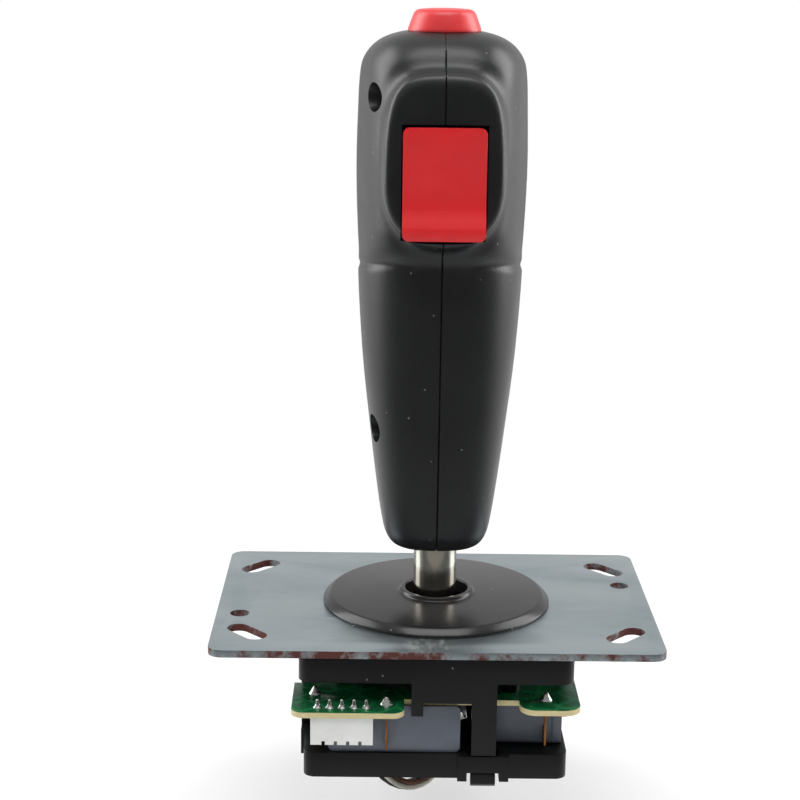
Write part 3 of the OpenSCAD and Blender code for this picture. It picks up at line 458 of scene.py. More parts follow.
world = bpy.data.worlds.new("studio_air")
world.use_nodes = True
bpy.context.scene.world = world
tree = world.node_tree
air = tree.nodes["Background"]
rays = put(tree, "LightPath").outputs
way = put(tree, "SeparateXYZ", {0: put(tree, "TexCoord").outputs["Generated"]}).outputs["Y"]
behind = put(tree, "MapRange", {
    "Value": way, "From Min": -0.6, "From Max": 0.15, "To Min": 0.02,
    "To Max": 0.8}).outputs["Result"]
# A band high in front, for mirrored rays only, gives the brow and the trigger's foot a light
height = put(tree, "SeparateXYZ", {0: put(tree, "TexCoord").outputs["Generated"]}).outputs["Z"]
above = put(tree, "MapRange", {
    "Value": height, "From Min": 0.18, "From Max": 0.4, "To Max": 0.42}).outputs["Result"]
above_end = put(tree, "MapRange", {
    "Value": height, "From Min": 0.7, "From Max": 0.92, "To Min": 1.0,
    "To Max": 0.1}).outputs["Result"]
above = put(tree, "Math", {0: above, 1: above_end}, operation="MULTIPLY").outputs[0]
behind = put(tree, "Math", {0: behind, 1: above}, operation="MAXIMUM").outputs[0]
mirrored = put(tree, "Math", {0: rays["Is Glossy Ray"], 1: rays["Is Transmission Ray"]},
               operation="MAXIMUM").outputs[0]
level = put(tree, "Mix", {0: mirrored, 2: 0.34, 3: behind}).outputs[0]
level = put(tree, "Mix", {0: rays["Is Camera Ray"], 2: level, 3: 1.0}).outputs[0]
air.inputs["Color"].default_value = (1, 1, 1, 1)
tree.links.new(level, air.inputs["Strength"])


def soft_lamp(name, place, towards, width, height, power):
    """A wide soft lamp that shines towards a point."""
    lamp = bpy.data.lights.new(name, "AREA")
    lamp.shape = "RECTANGLE"
    lamp.size, lamp.size_y = width, height
    lamp.energy = power
    holder = bpy.data.objects.new(name, lamp)
    holder.location = place
    holder.rotation_euler = (Vector(towards) - Vector(place)).to_track_quat("-Z", "Y").to_euler()
    bpy.context.scene.collection.objects.link(holder)


soft_lamp("left_lamp", (-0.75, 0.22, 0.4), (0, 0, 0.05), 0.5, 0.9, 7)
soft_lamp("right_lamp", (0.75, 0.22, 0.4), (0, 0, 0.05), 0.5, 0.9, 7)
soft_lamp("top_lamp", (0, -0.3, 0.95), (0, 0, 0.05), 0.8, 0.4, 6)


# Mounting plate. A rectangle of zinc-plated sheet steel with a slanted slot near each
# corner, two round holes and the lever's hole, pressed out in one stroke. It has rust on
# its cut edges, and pale streaks on its top face in front of the washer are a painted reflection
# of the shaft's highlights.
rust_middle_x = -0.0155
zinc = Finish("zinc_sheet", colour(160, 170, 173), colour(142, 153, 158), 0.34, 0.07,
              patch=26.0, grain=900.0, depth=0.008, metallic=0.9, stretch=(1, 2.2, 1))
normal = put(zinc.tree, "SeparateXYZ", {0: zinc.coordinates["Normal"]}).outputs["Z"]
upright = put(zinc.tree, "Math", {0: normal}, operation="ABSOLUTE").outputs[0]
cut_edge = put(zinc.tree, "MapRange", {
    "Value": upright, "From Min": 0.35, "From Max": 0.75, "To Min": 1.0,
    "To Max": 0.0}).outputs["Result"]
spots = put(zinc.tree, "TexNoise", {
    "Vector": zinc.coordinates["Object"], "Scale": 210.0, "Detail": 6.0,
    "Roughness": 0.65}).outputs["Fac"]
across = put(zinc.tree, "SeparateXYZ", {0: zinc.coordinates["Object"]}).outputs
off_middle = put(zinc.tree, "Math", {0: across["X"], 1: -rust_middle_x},
                 operation="ADD").outputs[0]
off_middle = put(zinc.tree, "Math", {0: off_middle}, operation="ABSOLUTE").outputs[0]
bare_there = put(zinc.tree, "MapRange", {
    "Value": off_middle, "From Min": 0.004, "From Max": 0.03, "To Min": 0.2,
    "To Max": 0.07}).outputs["Result"]
inside = put(zinc.tree, "Math", {0: across["Y"]}, operation="ABSOLUTE").outputs[0]
inside = put(zinc.tree, "MapRange", {
    "Value": inside, "From Min": 0.0312, "From Max": 0.0318, "To Min": 0.12,
    "To Max": 0.0}).outputs["Result"]
eaten = put(zinc.tree, "Math", {0: spots, 1: bare_there}, operation="ADD").outputs[0]
eaten = put(zinc.tree, "Math", {0: eaten, 1: inside}, operation="ADD").outputs[0]
eaten = put(zinc.tree, "MapRange", {
    "Value": eaten, "From Min": 0.55, "From Max": 0.72}).outputs["Result"]
rust = put(zinc.tree, "Math", {0: eaten, 1: cut_edge}, operation="MULTIPLY").outputs[0]
zinc.colour = blend_colours(zinc.tree, rust, zinc.colour, colour(84, 42, 36))
zinc.tree.links.new(
    put(zinc.tree, "MapRange", {"Value": rust, "To Min": 0.9, "To Max": 0.1}).outputs[0],
    zinc.shader.inputs["Metallic"])
zinc.roughness = put(zinc.tree, "Mix", {0: rust, 2: zinc.roughness, 3: 0.85}).outputs[0]

# Painted reflection: pale streaks on the top face in front of the washer, standing in for the
# shaft's highlights mirrored in the zinc
painted_glint_middle = (-0.003, -0.0285, 0)
from_painted_glint = put(zinc.tree, "VectorMath", {
    0: zinc.coordinates["Object"], 1: painted_glint_middle}, operation="DISTANCE").outputs["Value"]
painted_glint_near = put(zinc.tree, "MapRange", {
    "Value": from_painted_glint, "From Min": 0.003, "From Max": 0.011, "To Min": 0.3,
    "To Max": 0.0}).outputs["Result"]
glint_strokes = put(zinc.tree, "TexNoise", {
    "Vector": put(zinc.tree, "Mapping", {
        "Vector": zinc.coordinates["Object"], "Scale": (1, 0.35, 1)}).outputs["Vector"],
    "Scale": 420.0, "Detail": 4.0, "Roughness": 0.7}).outputs["Fac"]
painted_glint = put(zinc.tree, "Math", {0: glint_strokes, 1: painted_glint_near}, operation="ADD").outputs[0]
painted_glint = put(zinc.tree, "MapRange", {
    "Value": painted_glint, "From Min": 0.74, "From Max": 0.86, "To Max": 0.45}).outputs["Result"]
painted_glint = put(zinc.tree, "Math", {0: painted_glint, 1: normal}, operation="MULTIPLY",
              use_clamp=True).outputs[0]
# The painted reflection lightens the zinc's colour and raises its roughness there
zinc.colour = blend_colours(zinc.tree, painted_glint, zinc.colour, colour(214, 218, 218))
zinc.roughness = put(zinc.tree, "Mix", {
    0: painted_glint, 2: zinc.roughness, 3: 0.55}).outputs[0]
dress(softened("mounting_plate", "plate_sheet", 0.16), zinc.done(), "base",
      "zinc_sheet", "mounting_plate")


# Plate screws. Four small countersunk screws of plated steel that hold the plate to the
# housing, under the dust washer.
screw_steel = Finish("screw_steel", colour(186, 187, 184), colour(164, 165, 162), 0.28,
                     patch=240.0, grain=1800.0, depth=0.01, metallic=1.0)
screw_steel = screw_steel.done()
dress(softened("plate_screws", "sheet_screws", 0.1), screw_steel, "base", "screw_steel",
      "plate_screws")


# Dust washer. A loose disc of dark nylon, turned with a sloped rim and a raised collar.
# It lies on the plate and slides with the lever.
def turned(name, outline, middle=(0, 0), steps=96):
    """A piece turned from an outline of radius and height in millimetres, all the way round."""
    bpy.ops.object.select_all(action="DESELECT")
    bpy.ops.mesh.primitive_circle_add(vertices=len(outline), radius=mm)
    piece = bpy.context.object
    piece.name = name
    for vertex, (r, z) in zip(piece.data.vertices, outline):
        vertex.co = point(middle[0] + r, middle[1], z)
    bpy.ops.object.mode_set(mode="EDIT")
    bpy.ops.mesh.select_all(action="SELECT")
    bpy.ops.mesh.spin(steps=steps, angle=2 * math.pi, center=point(*middle, 0),
                      axis=(0, 0, 1))
    bpy.ops.mesh.select_all(action="SELECT")
    bpy.ops.mesh.remove_doubles(threshold=0.000003)
    bpy.ops.mesh.dissolve_degenerate(threshold=0.000001)
    bpy.ops.mesh.normals_make_consistent(inside=False)
    bpy.ops.object.mode_set(mode="OBJECT")
    bpy.ops.object.shade_smooth_by_angle(angle=math.radians(40))
    return piece


nylon = Finish("washer_nylon", colour(26, 26, 27), colour(34, 33, 33), 0.24, 0.05,
               patch=60.0, grain=1500.0, depth=0.012, dust=0.04, shine=0.3)
washer = turned("washer_disc", [
    (6.9, 0.05), (7.1, 0), (24.6, 0), (24.9, 0.06), (25, 0.25), (24.97, 0.5), (24.8, 0.72),
    (23.75, 1.75), (23.45, 1.93), (23.1, 2), (9, 1.97), (8.5, 2.02), (8.15, 2.2),
    (7.97, 2.45), (7.9, 2.7), (7.82, 2.88), (7.68, 2.97), (7.5, 3), (7.2, 3),
    (7.02, 2.95), (6.93, 2.85), (6.9, 2.7)], (0.4, 0), 128)
dress(washer, nylon.done(), "base", "washer_plastic", "dust_washer")


# Housing. One block of black moulded plastic under the plate, with a seat for the spring
# and four clip legs that reach down past the switches and snap under the gate.
black_plastic = Finish("black_plastic", colour(11, 11, 12), colour(17, 17, 18), 0.34, 0.06,
                       patch=70.0, grain=2200.0, depth=0.03, dust=0.03, shine=0.25).done()
dress(softened("housing", "housing_block", 0.4), black_plastic, "base", "black_plastic",
      "housing")


# Gimbal and centring. A ring and a hub of acetal hang on steel pins in the housing, and a
# tapered spring under a steel plate stands the lever upright.
acetal = Finish("acetal", colour(226, 223, 212), colour(214, 210, 198), 0.35,
                patch=90.0, grain=1800.0, depth=0.02).done()
pin_steel = Finish("pin_steel", colour(188, 190, 192), colour(170, 172, 175), 0.22,
                   patch=200.0, grain=1500.0, depth=0.008, metallic=1.0,
                   stretch=(1, 1, 6)).done()
spring_steel = Finish("spring_steel", colour(176, 178, 180), colour(150, 152, 156), 0.26,
                      patch=260.0, grain=2600.0, depth=0.01, metallic=1.0).done()
for node, name, width, material, body, slot in (
        ("spring_plate", "spring_seat", 0.12, pin_steel, "base", "spring_steel"),
        ("gimbal_ring", "outer_ring", 0.35, acetal, "gimbal", "ivory_plastic"),
        ("ring_pins", "outer_pins", 0.2, pin_steel, "gimbal", "spring_steel"),
        ("pivot_hub", "lever_hub", 0.35, acetal, "lever", "ivory_plastic"),
        ("hub_pins", "inner_pins", 0.2, pin_steel, "lever", "spring_steel"),
        ("actuator", "actuator_cup", 0.2, black_plastic, "lever", "black_plastic"),
        ("retaining_clip", "shaft_clip", 0.1, spring_steel, "lever", "spring_steel")):
    dress(softened(node, name, width), material, body, slot, node)
keep("centring_spring", spring_steel)


# Circuit board. A thin sheet of glass laminate with a green mask on both faces and a
# straw-coloured cut edge, notched round the housing's legs.
board = Finish("green_board", colour(16, 92, 52), colour(12, 78, 44), 0.3, 0.05,
               patch=60.0, grain=900.0, depth=0.01)
tracks = put(board.tree, "TexVoronoi", {
    "Vector": board.coordinates["Object"], "Scale": 190.0}, feature="DISTANCE_TO_EDGE")
tracks = put(board.tree, "MapRange", {
    "Value": tracks.outputs["Distance"], "From Min": 0.06, "From Max": 0.09, "To Min": 1.0,
    "To Max": 0.0}).outputs["Result"]
board.colour = blend_colours(board.tree, tracks, board.colour, colour(30, 116, 66))
normal = put(board.tree, "SeparateXYZ", {0: board.coordinates["Normal"]}).outputs["Z"]
upright = put(board.tree, "Math", {0: normal}, operation="ABSOLUTE").outputs[0]
cut_edge = put(board.tree, "MapRange", {
    "Value": upright, "From Min": 0.3, "From Max": 0.6, "To Min": 1.0,
    "To Max": 0.0}).outputs["Result"]
strands = put(board.tree, "TexNoise", {
    "Vector": put(board.tree, "Mapping", {
        "Vector": board.coordinates["Object"], "Scale": (1, 1, 9)}).outputs["Vector"],
    "Scale": 600.0, "Detail": 3.0}).outputs["Fac"]
straw = blend_colours(board.tree, strands, colour(214, 204, 160), colour(178, 164, 116))
board.colour = blend_colours(board.tree, cut_edge, board.colour, straw)
board.roughness = put(board.tree, "Mix", {
    0: cut_edge, 2: board.roughness, 3: 0.75}).outputs[0]
dress(softened("circuit_board", "board_sheet", 0.08), board.done(), "base", "board",
      "circuit_board")


# Solder joints. Small bright cones of tin, one on each header pin and each switch blade,
# drawn up along the metal as the solder set.
def joined(pieces, name):
    """Joins pieces into the first one, and names it."""
    only(pieces[0])
    for other in pieces:
        other.select_set(True)
    bpy.ops.object.join()
    pieces[0].name = name
    return pieces[0]


tin = Finish("solder_tin", colour(206, 206, 200), colour(184, 184, 180), 0.24, 0.1,
             patch=420.0, grain=2400.0, depth=0.02, metallic=1.0).done()
board_top = -13.0
header_x, header_y, pitch = -19.65, -30.7, 2.54
cones = []
for x in [header_x + (i - 2) * pitch for i in range(5)]:
    cones.append(turned("cone", [
        (0, board_top), (0.95, board_top), (0.9, board_top + 0.08), (0.62, board_top + 0.32),
        (0.44, board_top + 0.7), (0.36, board_top + 1.15), (0.31, board_top + 1.5),
        (0.24, board_top + 1.68), (0.12, board_top + 1.78), (0, board_top + 1.8)],
        (x, header_y), 24))
for turn in range(4):
    for x, y in ((-10.4, -28.6), (-25.5, -23.2)):
        for k in range(turn):
            x, y = -y, x
        cones.append(turned("cone", [
            (0, board_top), (1.34, board_top), (1.3, board_top + 0.1),
            (1.05, board_top + 0.45), (0.8, board_top + 0.85), (0.6, board_top + 1.2),
            (0.42, board_top + 1.5), (0.22, board_top + 1.66), (0, board_top + 1.7)],
            (x, y), 24))
dress(joined(cones, "tin_cones"), tin, "base", "solder", "solder_joints")


# Header. A row of five square pins in a shell of white nylon under the board's left tab,
# where the machine's loom plugs in.
white_plastic = Finish("white_plastic", colour(226, 227, 225), colour(216, 217, 214), 0.38,
                       patch=130.0, grain=2400.0, depth=0.025).done()
gold = Finish("gold_pin", colour(214, 188, 112), colour(196, 168, 96), 0.25,
              patch=300.0, grain=2000.0, depth=0.008, metallic=1.0).done()
dress(softened("header_shell", "pin_shell", 0.16), white_plastic, "base", "white_plastic",
      "header_shell")
dress(softened("header_pins", "square_pins", 0.14), gold, "base", "gold_pin",
      "header_pins")


# Base switches. Four snap switches in grey-blue cases on the gate's pegs, one to each
# side. Each case is two mouldings that meet in a fine line near the back, and its blades
# of bare copper alloy turn up into the board.
def block(low, high, name="block"):
    """A box between two corners given in millimetres."""
    low, high = point(*low), point(*high)
    bpy.ops.object.select_all(action="DESELECT")
    bpy.ops.mesh.primitive_cube_add(size=1, location=(low + high) / 2, scale=high - low)
    made = bpy.context.object
    made.name = name
    bpy.ops.object.transform_apply(location=True, rotation=True, scale=True)
    return made


def cut(piece, tool, action="DIFFERENCE"):
    """Cuts a piece with a tool, which is used up."""
    only(piece)
    step = piece.modifiers.new("cut", "BOOLEAN")
    step.operation = action
    step.solver = "MANIFOLD"
    step.object = tool
    bpy.ops.object.modifier_apply(modifier="cut")
    bpy.data.objects.remove(tool, do_unlink=True)
    return piece


case_plastic = Finish("switch_case", colour(94, 100, 112), colour(82, 88, 99), 0.4, 0.06,
                      patch=90.0, grain=2600.0, depth=0.035).done()
red_plastic = Finish("plunger_plastic", colour(140, 31, 31), colour(120, 26, 26), 0.35,
                     patch=300.0, grain=2600.0, depth=0.02).done()
copper = Finish("copper_blade", colour(150, 104, 66), colour(118, 80, 50), 0.36, 0.08,
                patch=380.0, grain=2200.0, depth=0.01, metallic=1.0).done()
for turn, side in enumerate(("front", "right", "rear", "left")):
    case = softened("switch_" + side, "case_" + side, 0.45)
    ring = block((-24, -25.05, -26), (7, -24.8, -13))
    cut(ring, block((-22.3, -26, -24.2), (4.9, -24, -14.5)))
    ring.data.transform(Matrix.Rotation(math.radians(90 * turn), 4, "Z"))
    cut(case, ring)
    only(case)
    bpy.ops.object.shade_smooth_by_angle(angle=math.radians(35))
    dress(case, case_plastic, "base", "switch_case", "switch_" + side)
    dress(softened("plunger_" + side, "presser_" + side, 0.15), red_plastic,
          "plunger_" + side, "switch_plunger", "plunger_" + side)
dress(softened("switch_terminals", "copper_blades", 0.1), copper, "base", "copper_blade",
      "switch_terminals")


# Gate. The black plate under the switches whose square hole limits the lever. Its bars
# snap over the housing's hooks, and pegs on it hold the switches.
dress(softened("gate", "gate_plate", 0.3), black_plastic, "base", "black_plastic", "gate")


# Shaft. A hollow bar of plated steel that runs from the clip under the gate up into the
# grip, with a cross pin that keys the grip to it.
shaft_steel = Finish("shaft_steel", colour(206, 200, 188), colour(188, 181, 168), 0.17, 0.05,
                     patch=60.0, grain=1200.0, depth=0.006, metallic=1.0,
                     stretch=(1, 1, 0.2)).done()
dress(softened("shaft", "shaft_tube", 0.25), shaft_steel, "lever", "shaft_steel", "shaft")
dress(softened("shaft_pin", "cross_pin", 0.2), pin_steel, "lever", "spring_steel",
      "shaft_pin")


# Grip shells. Two halves of satin black plastic, screwed together on the seam that runs up
# the front and the back. The head stands out over the handle on a soft step, and a raised
# egg-shaped surround for the trigger grows out of its front.
grip_low, grip_high, widest = 12.0, 124.0, 18.0
trigger_axis = (-17.2, 103.4)
button_axis = (0, -1)
lower_screw, upper_screw = (-5, 40.4), (-9.5, 111)
rows = [
    (0.014, 0.42, 7.4, 7.8, 0), (0.020, 0.52, 9.1, 9.5, 0), (0.031, 0.59, 10.4, 10.8, 0.02),
    (0.054, 0.648, 11.5, 12, 0.045), (0.138, 0.731, 12.6, 13.4, 0.08),
    (0.258, 0.822, 13.6, 15, 0.12), (0.378, 0.905, 14.3, 16.4, 0.16),
    (0.495, 0.957, 14.8, 17.6, 0.20), (0.560, 0.973, 14.9, 18.2, 0.22),
    (0.585, 0.966, 15.1, 18.4, 0.24), (0.602, 0.970, 16.2, 18.6, 0.26),
    (0.630, 0.980, 16.9, 19, 0.30), (0.705, 0.998, 17.4, 19.8, 0.33),
    (0.786, 1, 17.6, 20.4, 0.33), (0.857, 0.988, 17.4, 20.6, 0.32),
    (0.911, 0.973, 16.8, 20.2, 0.28), (0.945, 0.942, 15.9, 19.2, 0.24),
    (0.967, 0.862, 14.4, 17.4, 0.18), (0.983, 0.750, 12.6, 15, 0.12),
    (0.994, 0.600, 10.3, 12.2, 0.06), (1, 0.445, 8.6, 9.6, 0),
]


def grip_row(share):
    """The grip's section at a share of its height: half width, front, back and taper."""
    i = max(k for k in range(len(rows) - 1) if rows[k][0] <= share)
    a, b = rows[i], rows[i + 1]
    before, after = rows[max(i - 1, 0)], rows[min(i + 2, len(rows) - 1)]
    span = b[0] - a[0]
    t = (share - a[0]) / span
    values = []
    for k in range(1, 5):
        rise_a = (b[k] - before[k]) / (b[0] - before[0]) * span
        rise_b = (after[k] - a[k]) / (after[0] - a[0]) * span
        values.append(
            (2 * t**3 - 3 * t**2 + 1) * a[k] + (t**3 - 2 * t**2 + t) * rise_a
            + (3 * t**2 - 2 * t**3) * b[k] + (t**3 - t**2) * rise_b)
    return values


def boxiness(share):
    """How square the front half of a section is. The head is squarer than the handle."""
    start = max(0, min(1, (share - 0.57) / 0.07))
    finish = max(0, min(1, (0.985 - share) / 0.07))
    return 2.8 + 1.3 * start * finish


def section_point(share, a):
    """A point of the grip's outside at a share of its height and an angle round it."""
    width, front, back, taper = grip_row(share)
    power = boxiness(share) if math.sin(a) < 0 else 2.8
    c = math.copysign(abs(math.cos(a)) ** (2 / power), math.cos(a))
    s = math.copysign(abs(math.sin(a)) ** (2 / power), math.sin(a))
    return point(widest * width * c * (1 - taper * max(0, -s)),
                 s * (front if s < 0 else back), grip_low + share * (grip_high - grip_low))


def rings_piece(name, rings):
    """A closed piece grown from a first ring by extruding it to each next one."""
    bpy.ops.object.select_all(action="DESELECT")
    bpy.ops.mesh.primitive_circle_add(vertices=len(rings[0]), radius=mm, fill_type="NGON")
    piece = bpy.context.object
    piece.name = name
    build = bmesh.new()
    build.from_mesh(piece.data)
    build.verts.ensure_lookup_table()
    ring = list(build.verts)
    for vertex, place in zip(ring, rings[0]):
        vertex.co = place
    for places in rings[1:]:
        new_ring = [build.verts.new(place) for place in places]
        for k in range(len(ring)):
            nxt = (k + 1) % len(ring)
            build.faces.new((ring[k], ring[nxt], new_ring[nxt], new_ring[k]))
        ring = new_ring
    build.faces.new(ring)
    bmesh.ops.recalc_face_normals(build, faces=build.faces)
    build.to_mesh(piece.data)
    build.free()
    return piece


levels = [0.014, 0.016, 0.018, 0.022, 0.025, 0.029] + [k / 150 for k in range(5, 150)]
levels += [0.985, 0.989, 0.992, 0.997, 0.999999]
levels.sort()
grip = rings_piece("grip", [
    [section_point(level, 2 * math.pi * k / 112) for k in range(112)] for level in levels])

egg_middle, egg_reach, egg_half = 98.8, 17.8, 12.3


def egg_ring(grow, y):
    """The surround's outline at one depth, with a broader round along its brow."""
    places = []
    for k in range(120):
        a = 2 * math.pi * k / 120
        power = 2.35 + 0.6 * (1 + math.sin(a))
        c = math.copysign(abs(math.cos(a)) ** (2 / power), math.cos(a))
        s = math.copysign(abs(math.sin(a)) ** (2 / power), math.sin(a))
        brow = 1 + 0.9 * max(0, math.sin(a)) ** 2 if grow < 0 else 1
        places.append(point(
            (egg_half + grow * brow) * c * (1 - 0.03 * s), y,
            egg_middle + (egg_reach + grow * brow) * s))
    return places


edge_steps = [math.radians(a) for a in (0, 18, 36, 54, 72, 90)]
edge_r = 1.9
surround = rings_piece("surround", [
    egg_ring(-edge_r - 2, -20.28), egg_ring(-edge_r - 0.6, -20.27)] + [
    egg_ring(-edge_r * (1 - math.sin(a)), -20.25 + edge_r * (1 - math.cos(a)))
    for a in edge_steps] + [
    egg_ring(0.15 * k, -18.35 + 1.35 * k) for k in range(1, 8)])
grip = joined([grip, surround], "grip")

blended = grip.modifiers.new("one_skin", "REMESH")
blended.mode = "VOXEL"
blended.voxel_size = 0.5 * mm
only(grip)
bpy.ops.object.modifier_apply(modifier="one_skin")


def head_front(x, z):
    """How far out the grip's own front is at that place, without its surround."""
    width, front, back, taper = grip_row((z - grip_low) / (grip_high - grip_low))
    reach = widest * width * (1 - taper * 0.8)
    share = min(0.999, abs(x) / reach)
    return -front * (1 - share ** 4) ** 0.25


root = grip.vertex_groups.new(name="root")
for vertex in grip.data.vertices:
    x, y, z = vertex.co / mm
    if y > -4 or not 76 < z < 121:
        continue
    u, v = abs(x) / (egg_half + 0.4), (z - egg_middle) / (egg_reach + 0.4)
    power = 3.1 if v > 0 else 2.5
    out = (u ** power + abs(v) ** power) ** (1 / power) - 1
    from_rim = out * math.hypot(x, z - egg_middle)
    from_head = y - head_front(x, min(z, grip_high - 0.01))
    near = math.hypot(from_rim, max(from_head, -2.6 if from_head > 0 else from_head))
    if near < 3.4:
        root.add([vertex.index], min(1, (3.4 - near) / 1.6), "REPLACE")
for group, factor, count in (("", 0.5, 7), ("root", 0.5, 60), ("", 0.5, 3)):
    calm = grip.modifiers.new("calm", "SMOOTH")
    calm.factor = factor
    calm.iterations = count
    calm.vertex_group = group
    bpy.ops.object.modifier_apply(modifier="calm")
grip.vertex_groups.clear()

# The step under the head is a fine groove on the flanks that fades out at the front
for vertex in grip.data.vertices:
    x, y, z = vertex.co / mm
    if 69 < z < 82:
        flank = min(1, max(0, (abs(x) - 5) / 6)) if y < 0 else 1
        level = 77.6 - 0.14 * (max(-16, min(8, y)) + 16)
        depth = 0.42 * flank * math.exp(-((z - level) / 0.75) ** 2)
        vertex.co -= vertex.normal * depth * mm


def bar(axis, start, end, at, radius, name="bar"):
    """A round bar along X, Y or Z between two places, on an axis through a point."""
    middle = {"X": ((start + end) / 2, *at), "Y": (at[0], (start + end) / 2, at[1]),
              "Z": (*at, (start + end) / 2)}[axis]
    turn = {"X": (0, math.pi / 2, 0), "Y": (math.pi / 2, 0, 0), "Z": (0, 0, 0)}[axis]
    bpy.ops.object.select_all(action="DESELECT")
    bpy.ops.mesh.primitive_cylinder_add(
        vertices=64, radius=radius * mm, depth=(end - start) * mm,
        location=point(*middle), rotation=turn)
    made = bpy.context.object
    made.name = name
    bpy.ops.object.transform_apply(location=True, rotation=True, scale=True)
    return made


def rounded_block(low, high, radius):
    """A box between two corners with its upright edges rounded."""
    made = block(low, high)
    picked(made, "EDGE", lambda edge: abs(edge.verts[0].co.z - edge.verts[1].co.z) > mm)
    bpy.ops.mesh.bevel(offset=radius * mm, segments=6, affect="EDGES")
    bpy.ops.object.mode_set(mode="OBJECT")
    return made


for low, high in (((-11.4, -9.5, 48), (11.4, 12.5, 62)), ((-13, -10.5, 61), (13, 14.5, 81)),
                  ((-14.5, -7.5, 80), (14.5, 16.5, 104)), ((-14.5, 4, 103), (14.5, 16.5, 107)),
                  ((-12, 4, 106), (12, 13, 109))):
    cut(grip, rounded_block(low, high, 5.5))
for low, high in (((-8.68, -60, 82.6), (8.68, -14.5, 106.45)),
                  ((-6.45, -14.9, 90.05), (6.45, -8.25, 95.95)),
                  ((-4, -16, 84.6), (4, -9.3, 89.4)), ((-5, -9.1, 91), (5, -5, 95)),
                  ((-6.45, -3.95, 105.45), (6.45, 1.95, 112.05))):
    cut(grip, block(low, high))
for axis, start, end, at, radius in (
        ("X", -10.7, 10.7, trigger_axis, 1.02), ("Z", 102.5, 111, button_axis, 2.4),
        ("Z", 111.9, 130, button_axis, 7.65), ("Z", 118.2, 121.5, button_axis, 8.9),
        ("Z", 0, 35.5, (0, 0), 4.77), ("Z", 35, 49, (0, 0), 2.2),
        ("X", -9.2, 9.2, (4.9, 24), 1.27), ("X", -60, -8.6, lower_screw, 3),
        ("X", -60, -10.4, upper_screw, 3), ("X", -60, 9, lower_screw, 1.35),
        ("X", -60, 9, upper_screw, 1.35)):
    cut(grip, bar(axis, start, end, at, radius))

grip_plastic = Finish("grip_plastic", colour(20, 21, 22), colour(27, 28, 29), 0.37, 0.05,
                      patch=32.0, grain=2300.0, depth=0.04, dust=0.06, shine=0.42).done()
grip_right = bpy.data.objects.new("grip_shell_right", grip.data.copy())
bpy.context.scene.collection.objects.link(grip_right)
grip.name = "grip_shell_left"
cut(grip_right, block((-60, -60, 0), (0.05, 60, 140)))
cut(grip, block((-0.05, -60, 0), (60, 60, 140)))
for shell, node in ((grip, "grip_left"), (grip_right, "grip_right")):
    for vertex in shell.data.vertices:
        x, y, z = vertex.co / mm
        if abs(x) < 0.06 and (y < -14 or y > 11 or z > 122.5 or (z < 48 and abs(y) > 6.5)):
            inward = Vector((0, vertex.normal.y, vertex.normal.z))
            if inward.length > 0.2:
                vertex.co -= inward.normalized() * 0.2 * mm
    only(shell)
    bpy.ops.object.shade_smooth_by_angle(angle=math.radians(38))
    dress(shell, grip_plastic, "lever", "grip_plastic", node)


# Grip screws. Two plated screws with cross heads, deep in round recesses on the left.
dress(softened("grip_screws", "shell_screws", 0.2), screw_steel, "lever", "screw_steel",
      "grip_screws")


# Trigger. A block of red plastic that swings on a steel pin high in the surround. Its face
# is almost flat with a soft rim all round, and it runs out to a flat lip at the foot.
trigger_low, trigger_back, trigger_half = 83.4, -17.6, 8.4
front = smooth_line([Vector((0, y, trigger_low + z)) for y, z in (
    (-20.95, 22.5), (-21, 19), (-20.85, 14.5), (-20.8, 10), (-20.95, 6.9), (-21.35, 5.1),
    (-22, 3.5), (-22.38, 2.4), (-22.45, 1.1), (-22.35, 0))], 5)
hub_y, hub_z = trigger_axis
hub = [(hub_y + 2.2 * math.cos(math.radians(a)), hub_z + 2.2 * math.sin(math.radians(a)))
       for a in range(-100, 101, 20)]
outline = [(p.y, p.z) for p in front] + [
    (trigger_back, trigger_low), (trigger_back, 91.7), (-16.5, 92.1), (-16.5, 93.9),
    (trigger_back, 94.3)] + hub + [(trigger_back, 105.9)]
trigger = rings_piece("trigger_block", [
    [point(x, y, z) for y, z in outline] for x in (-trigger_half, trigger_half)])
face = block((-trigger_half, -30, trigger_low), (trigger_half, -10, 105.9))
picked(face, "EDGE", lambda edge: abs(edge.verts[0].co.y - edge.verts[1].co.y) > mm)
bpy.ops.mesh.bevel(offset=1.3 * mm, segments=8, affect="EDGES")
bpy.ops.object.mode_set(mode="OBJECT")
cut(trigger, face, "INTERSECT")
cut(trigger, bar("X", -9, 9, trigger_axis, 1.05))
cut(trigger, bar("Y", -18.2, -16.6, (0, 87), 2.3))
rounding = trigger.modifiers.new("rounding", "BEVEL")
rounding.width = 0.55 * mm
rounding.segments = 4
rounding.limit_method = "ANGLE"
rounding.angle_limit = math.radians(50)
only(trigger)
bpy.ops.object.modifier_apply(modifier="rounding")
red_trigger = Finish("trigger_plastic", colour(218, 32, 36), colour(206, 29, 33), 0.31, 0.05,
                     patch=70.0, grain=2000.0, depth=0.03)
red_trigger.shader.inputs["Coat Weight"].default_value = 0.25
red_trigger.shader.inputs["Coat Roughness"].default_value = 0.2
bpy.ops.object.shade_smooth_by_angle(angle=math.radians(40))
dress(trigger, red_trigger.done(), "trigger", "red_trigger", "trigger")
dress(softened("trigger_pin", "trigger_axle", 0.15), pin_steel, "lever", "spring_steel",
      "trigger_pin")
small_case = Finish("small_switch_case", colour(38, 39, 42), colour(48, 49, 52), 0.42,
                    patch=150.0, grain=2400.0, depth=0.03).done()
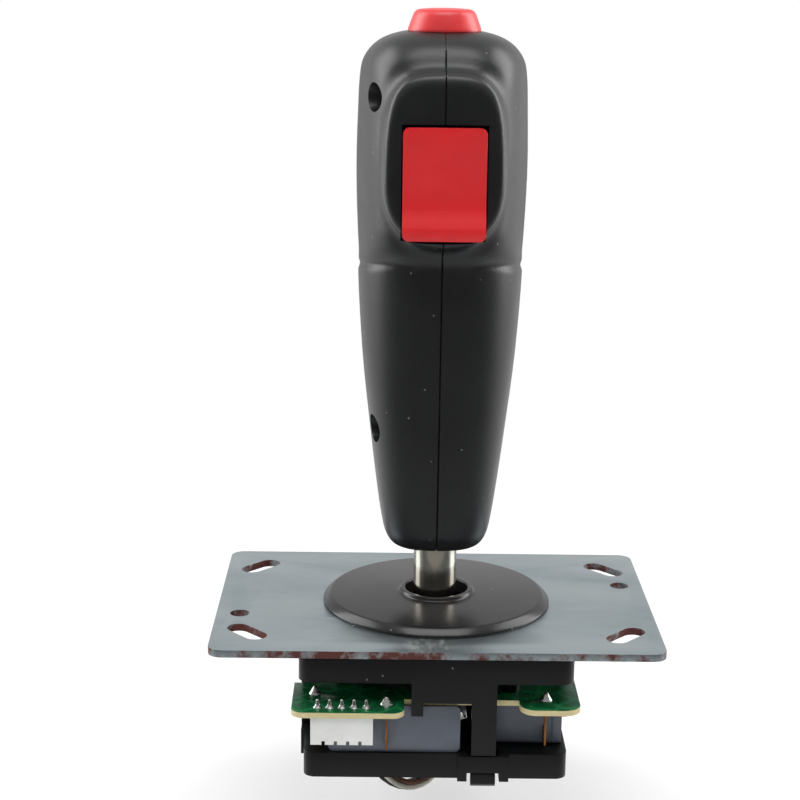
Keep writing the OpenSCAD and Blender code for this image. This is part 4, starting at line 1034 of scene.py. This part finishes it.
dress(softened("trigger_switch", "trigger_switch_case", 0.25), small_case, "lever",
      "small_switch", "trigger_switch")
dress(softened("trigger_plunger", "trigger_switch_presser", 0.12), red_plastic,
      "trigger_plunger", "switch_plunger", "trigger_plunger")


def pressed_spring(node, name):
    """A copy of a CAD spring with a mesh of its own, in spring steel on the lever."""
    spring = bpy.data.objects.new(name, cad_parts[node].data.copy())
    bpy.context.scene.collection.objects.link(spring)
    dress(spring, spring_steel, "lever", "spring_steel", node)
    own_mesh(spring)


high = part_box("trigger_spring")[1]
pressed_spring("trigger_spring", "trigger_return")


# Thumb button. A red plastic cap, a blunt cone with a softly rounded shoulder, which goes
# down into its bore in the top of the grip and presses a switch through its stem.
shoulder = [(4.9 + 1.75 * math.cos(math.radians(a)), 126.75 + 1.75 * math.sin(math.radians(a)))
            for a in range(15, 91, 15)]
cap = turned("button_cap", [
    (0, 113.7), (2.0, 113.7), (2.2, 113.9), (2.2, 126.5), (6.15, 126.5), (6.15, 119.9),
    (8.5, 119.9), (8.6, 120), (8.6, 121.1), (8.5, 121.2), (7.5, 121.2), (7.35, 121.35),
    (7.35, 124.05), (7.55, 124.12), (7.58, 124.35), (7.5, 124.75)] + shoulder + [
    (3, 128.66), (0, 128.75)], button_axis, 96)
red_button = Finish("button_plastic", colour(216, 44, 47), colour(203, 39, 42), 0.4, 0.05,
                    patch=90.0, grain=1800.0, depth=0.02)
red_button.shader.inputs["Coat Weight"].default_value = 0.12
red_button.shader.inputs["Coat Roughness"].default_value = 0.35
dress(cap, red_button.done(), "top_button", "red_button", "top_button")
dress(softened("button_switch", "button_switch_case", 0.25), small_case, "lever",
      "small_switch", "button_switch")
dress(softened("button_plunger", "button_switch_presser", 0.12), red_plastic,
      "button_plunger", "switch_plunger", "button_plunger")
pressed_spring("button_spring", "button_return")


# Leads inside the grip. The same wires run from the two small switches down through the
# hollow shaft, out of sight.
keep("grip_leads", Finish("inner_cover", colour(32, 32, 34), colour(42, 42, 44), 0.45,
                          patch=260.0, grain=3000.0).done())
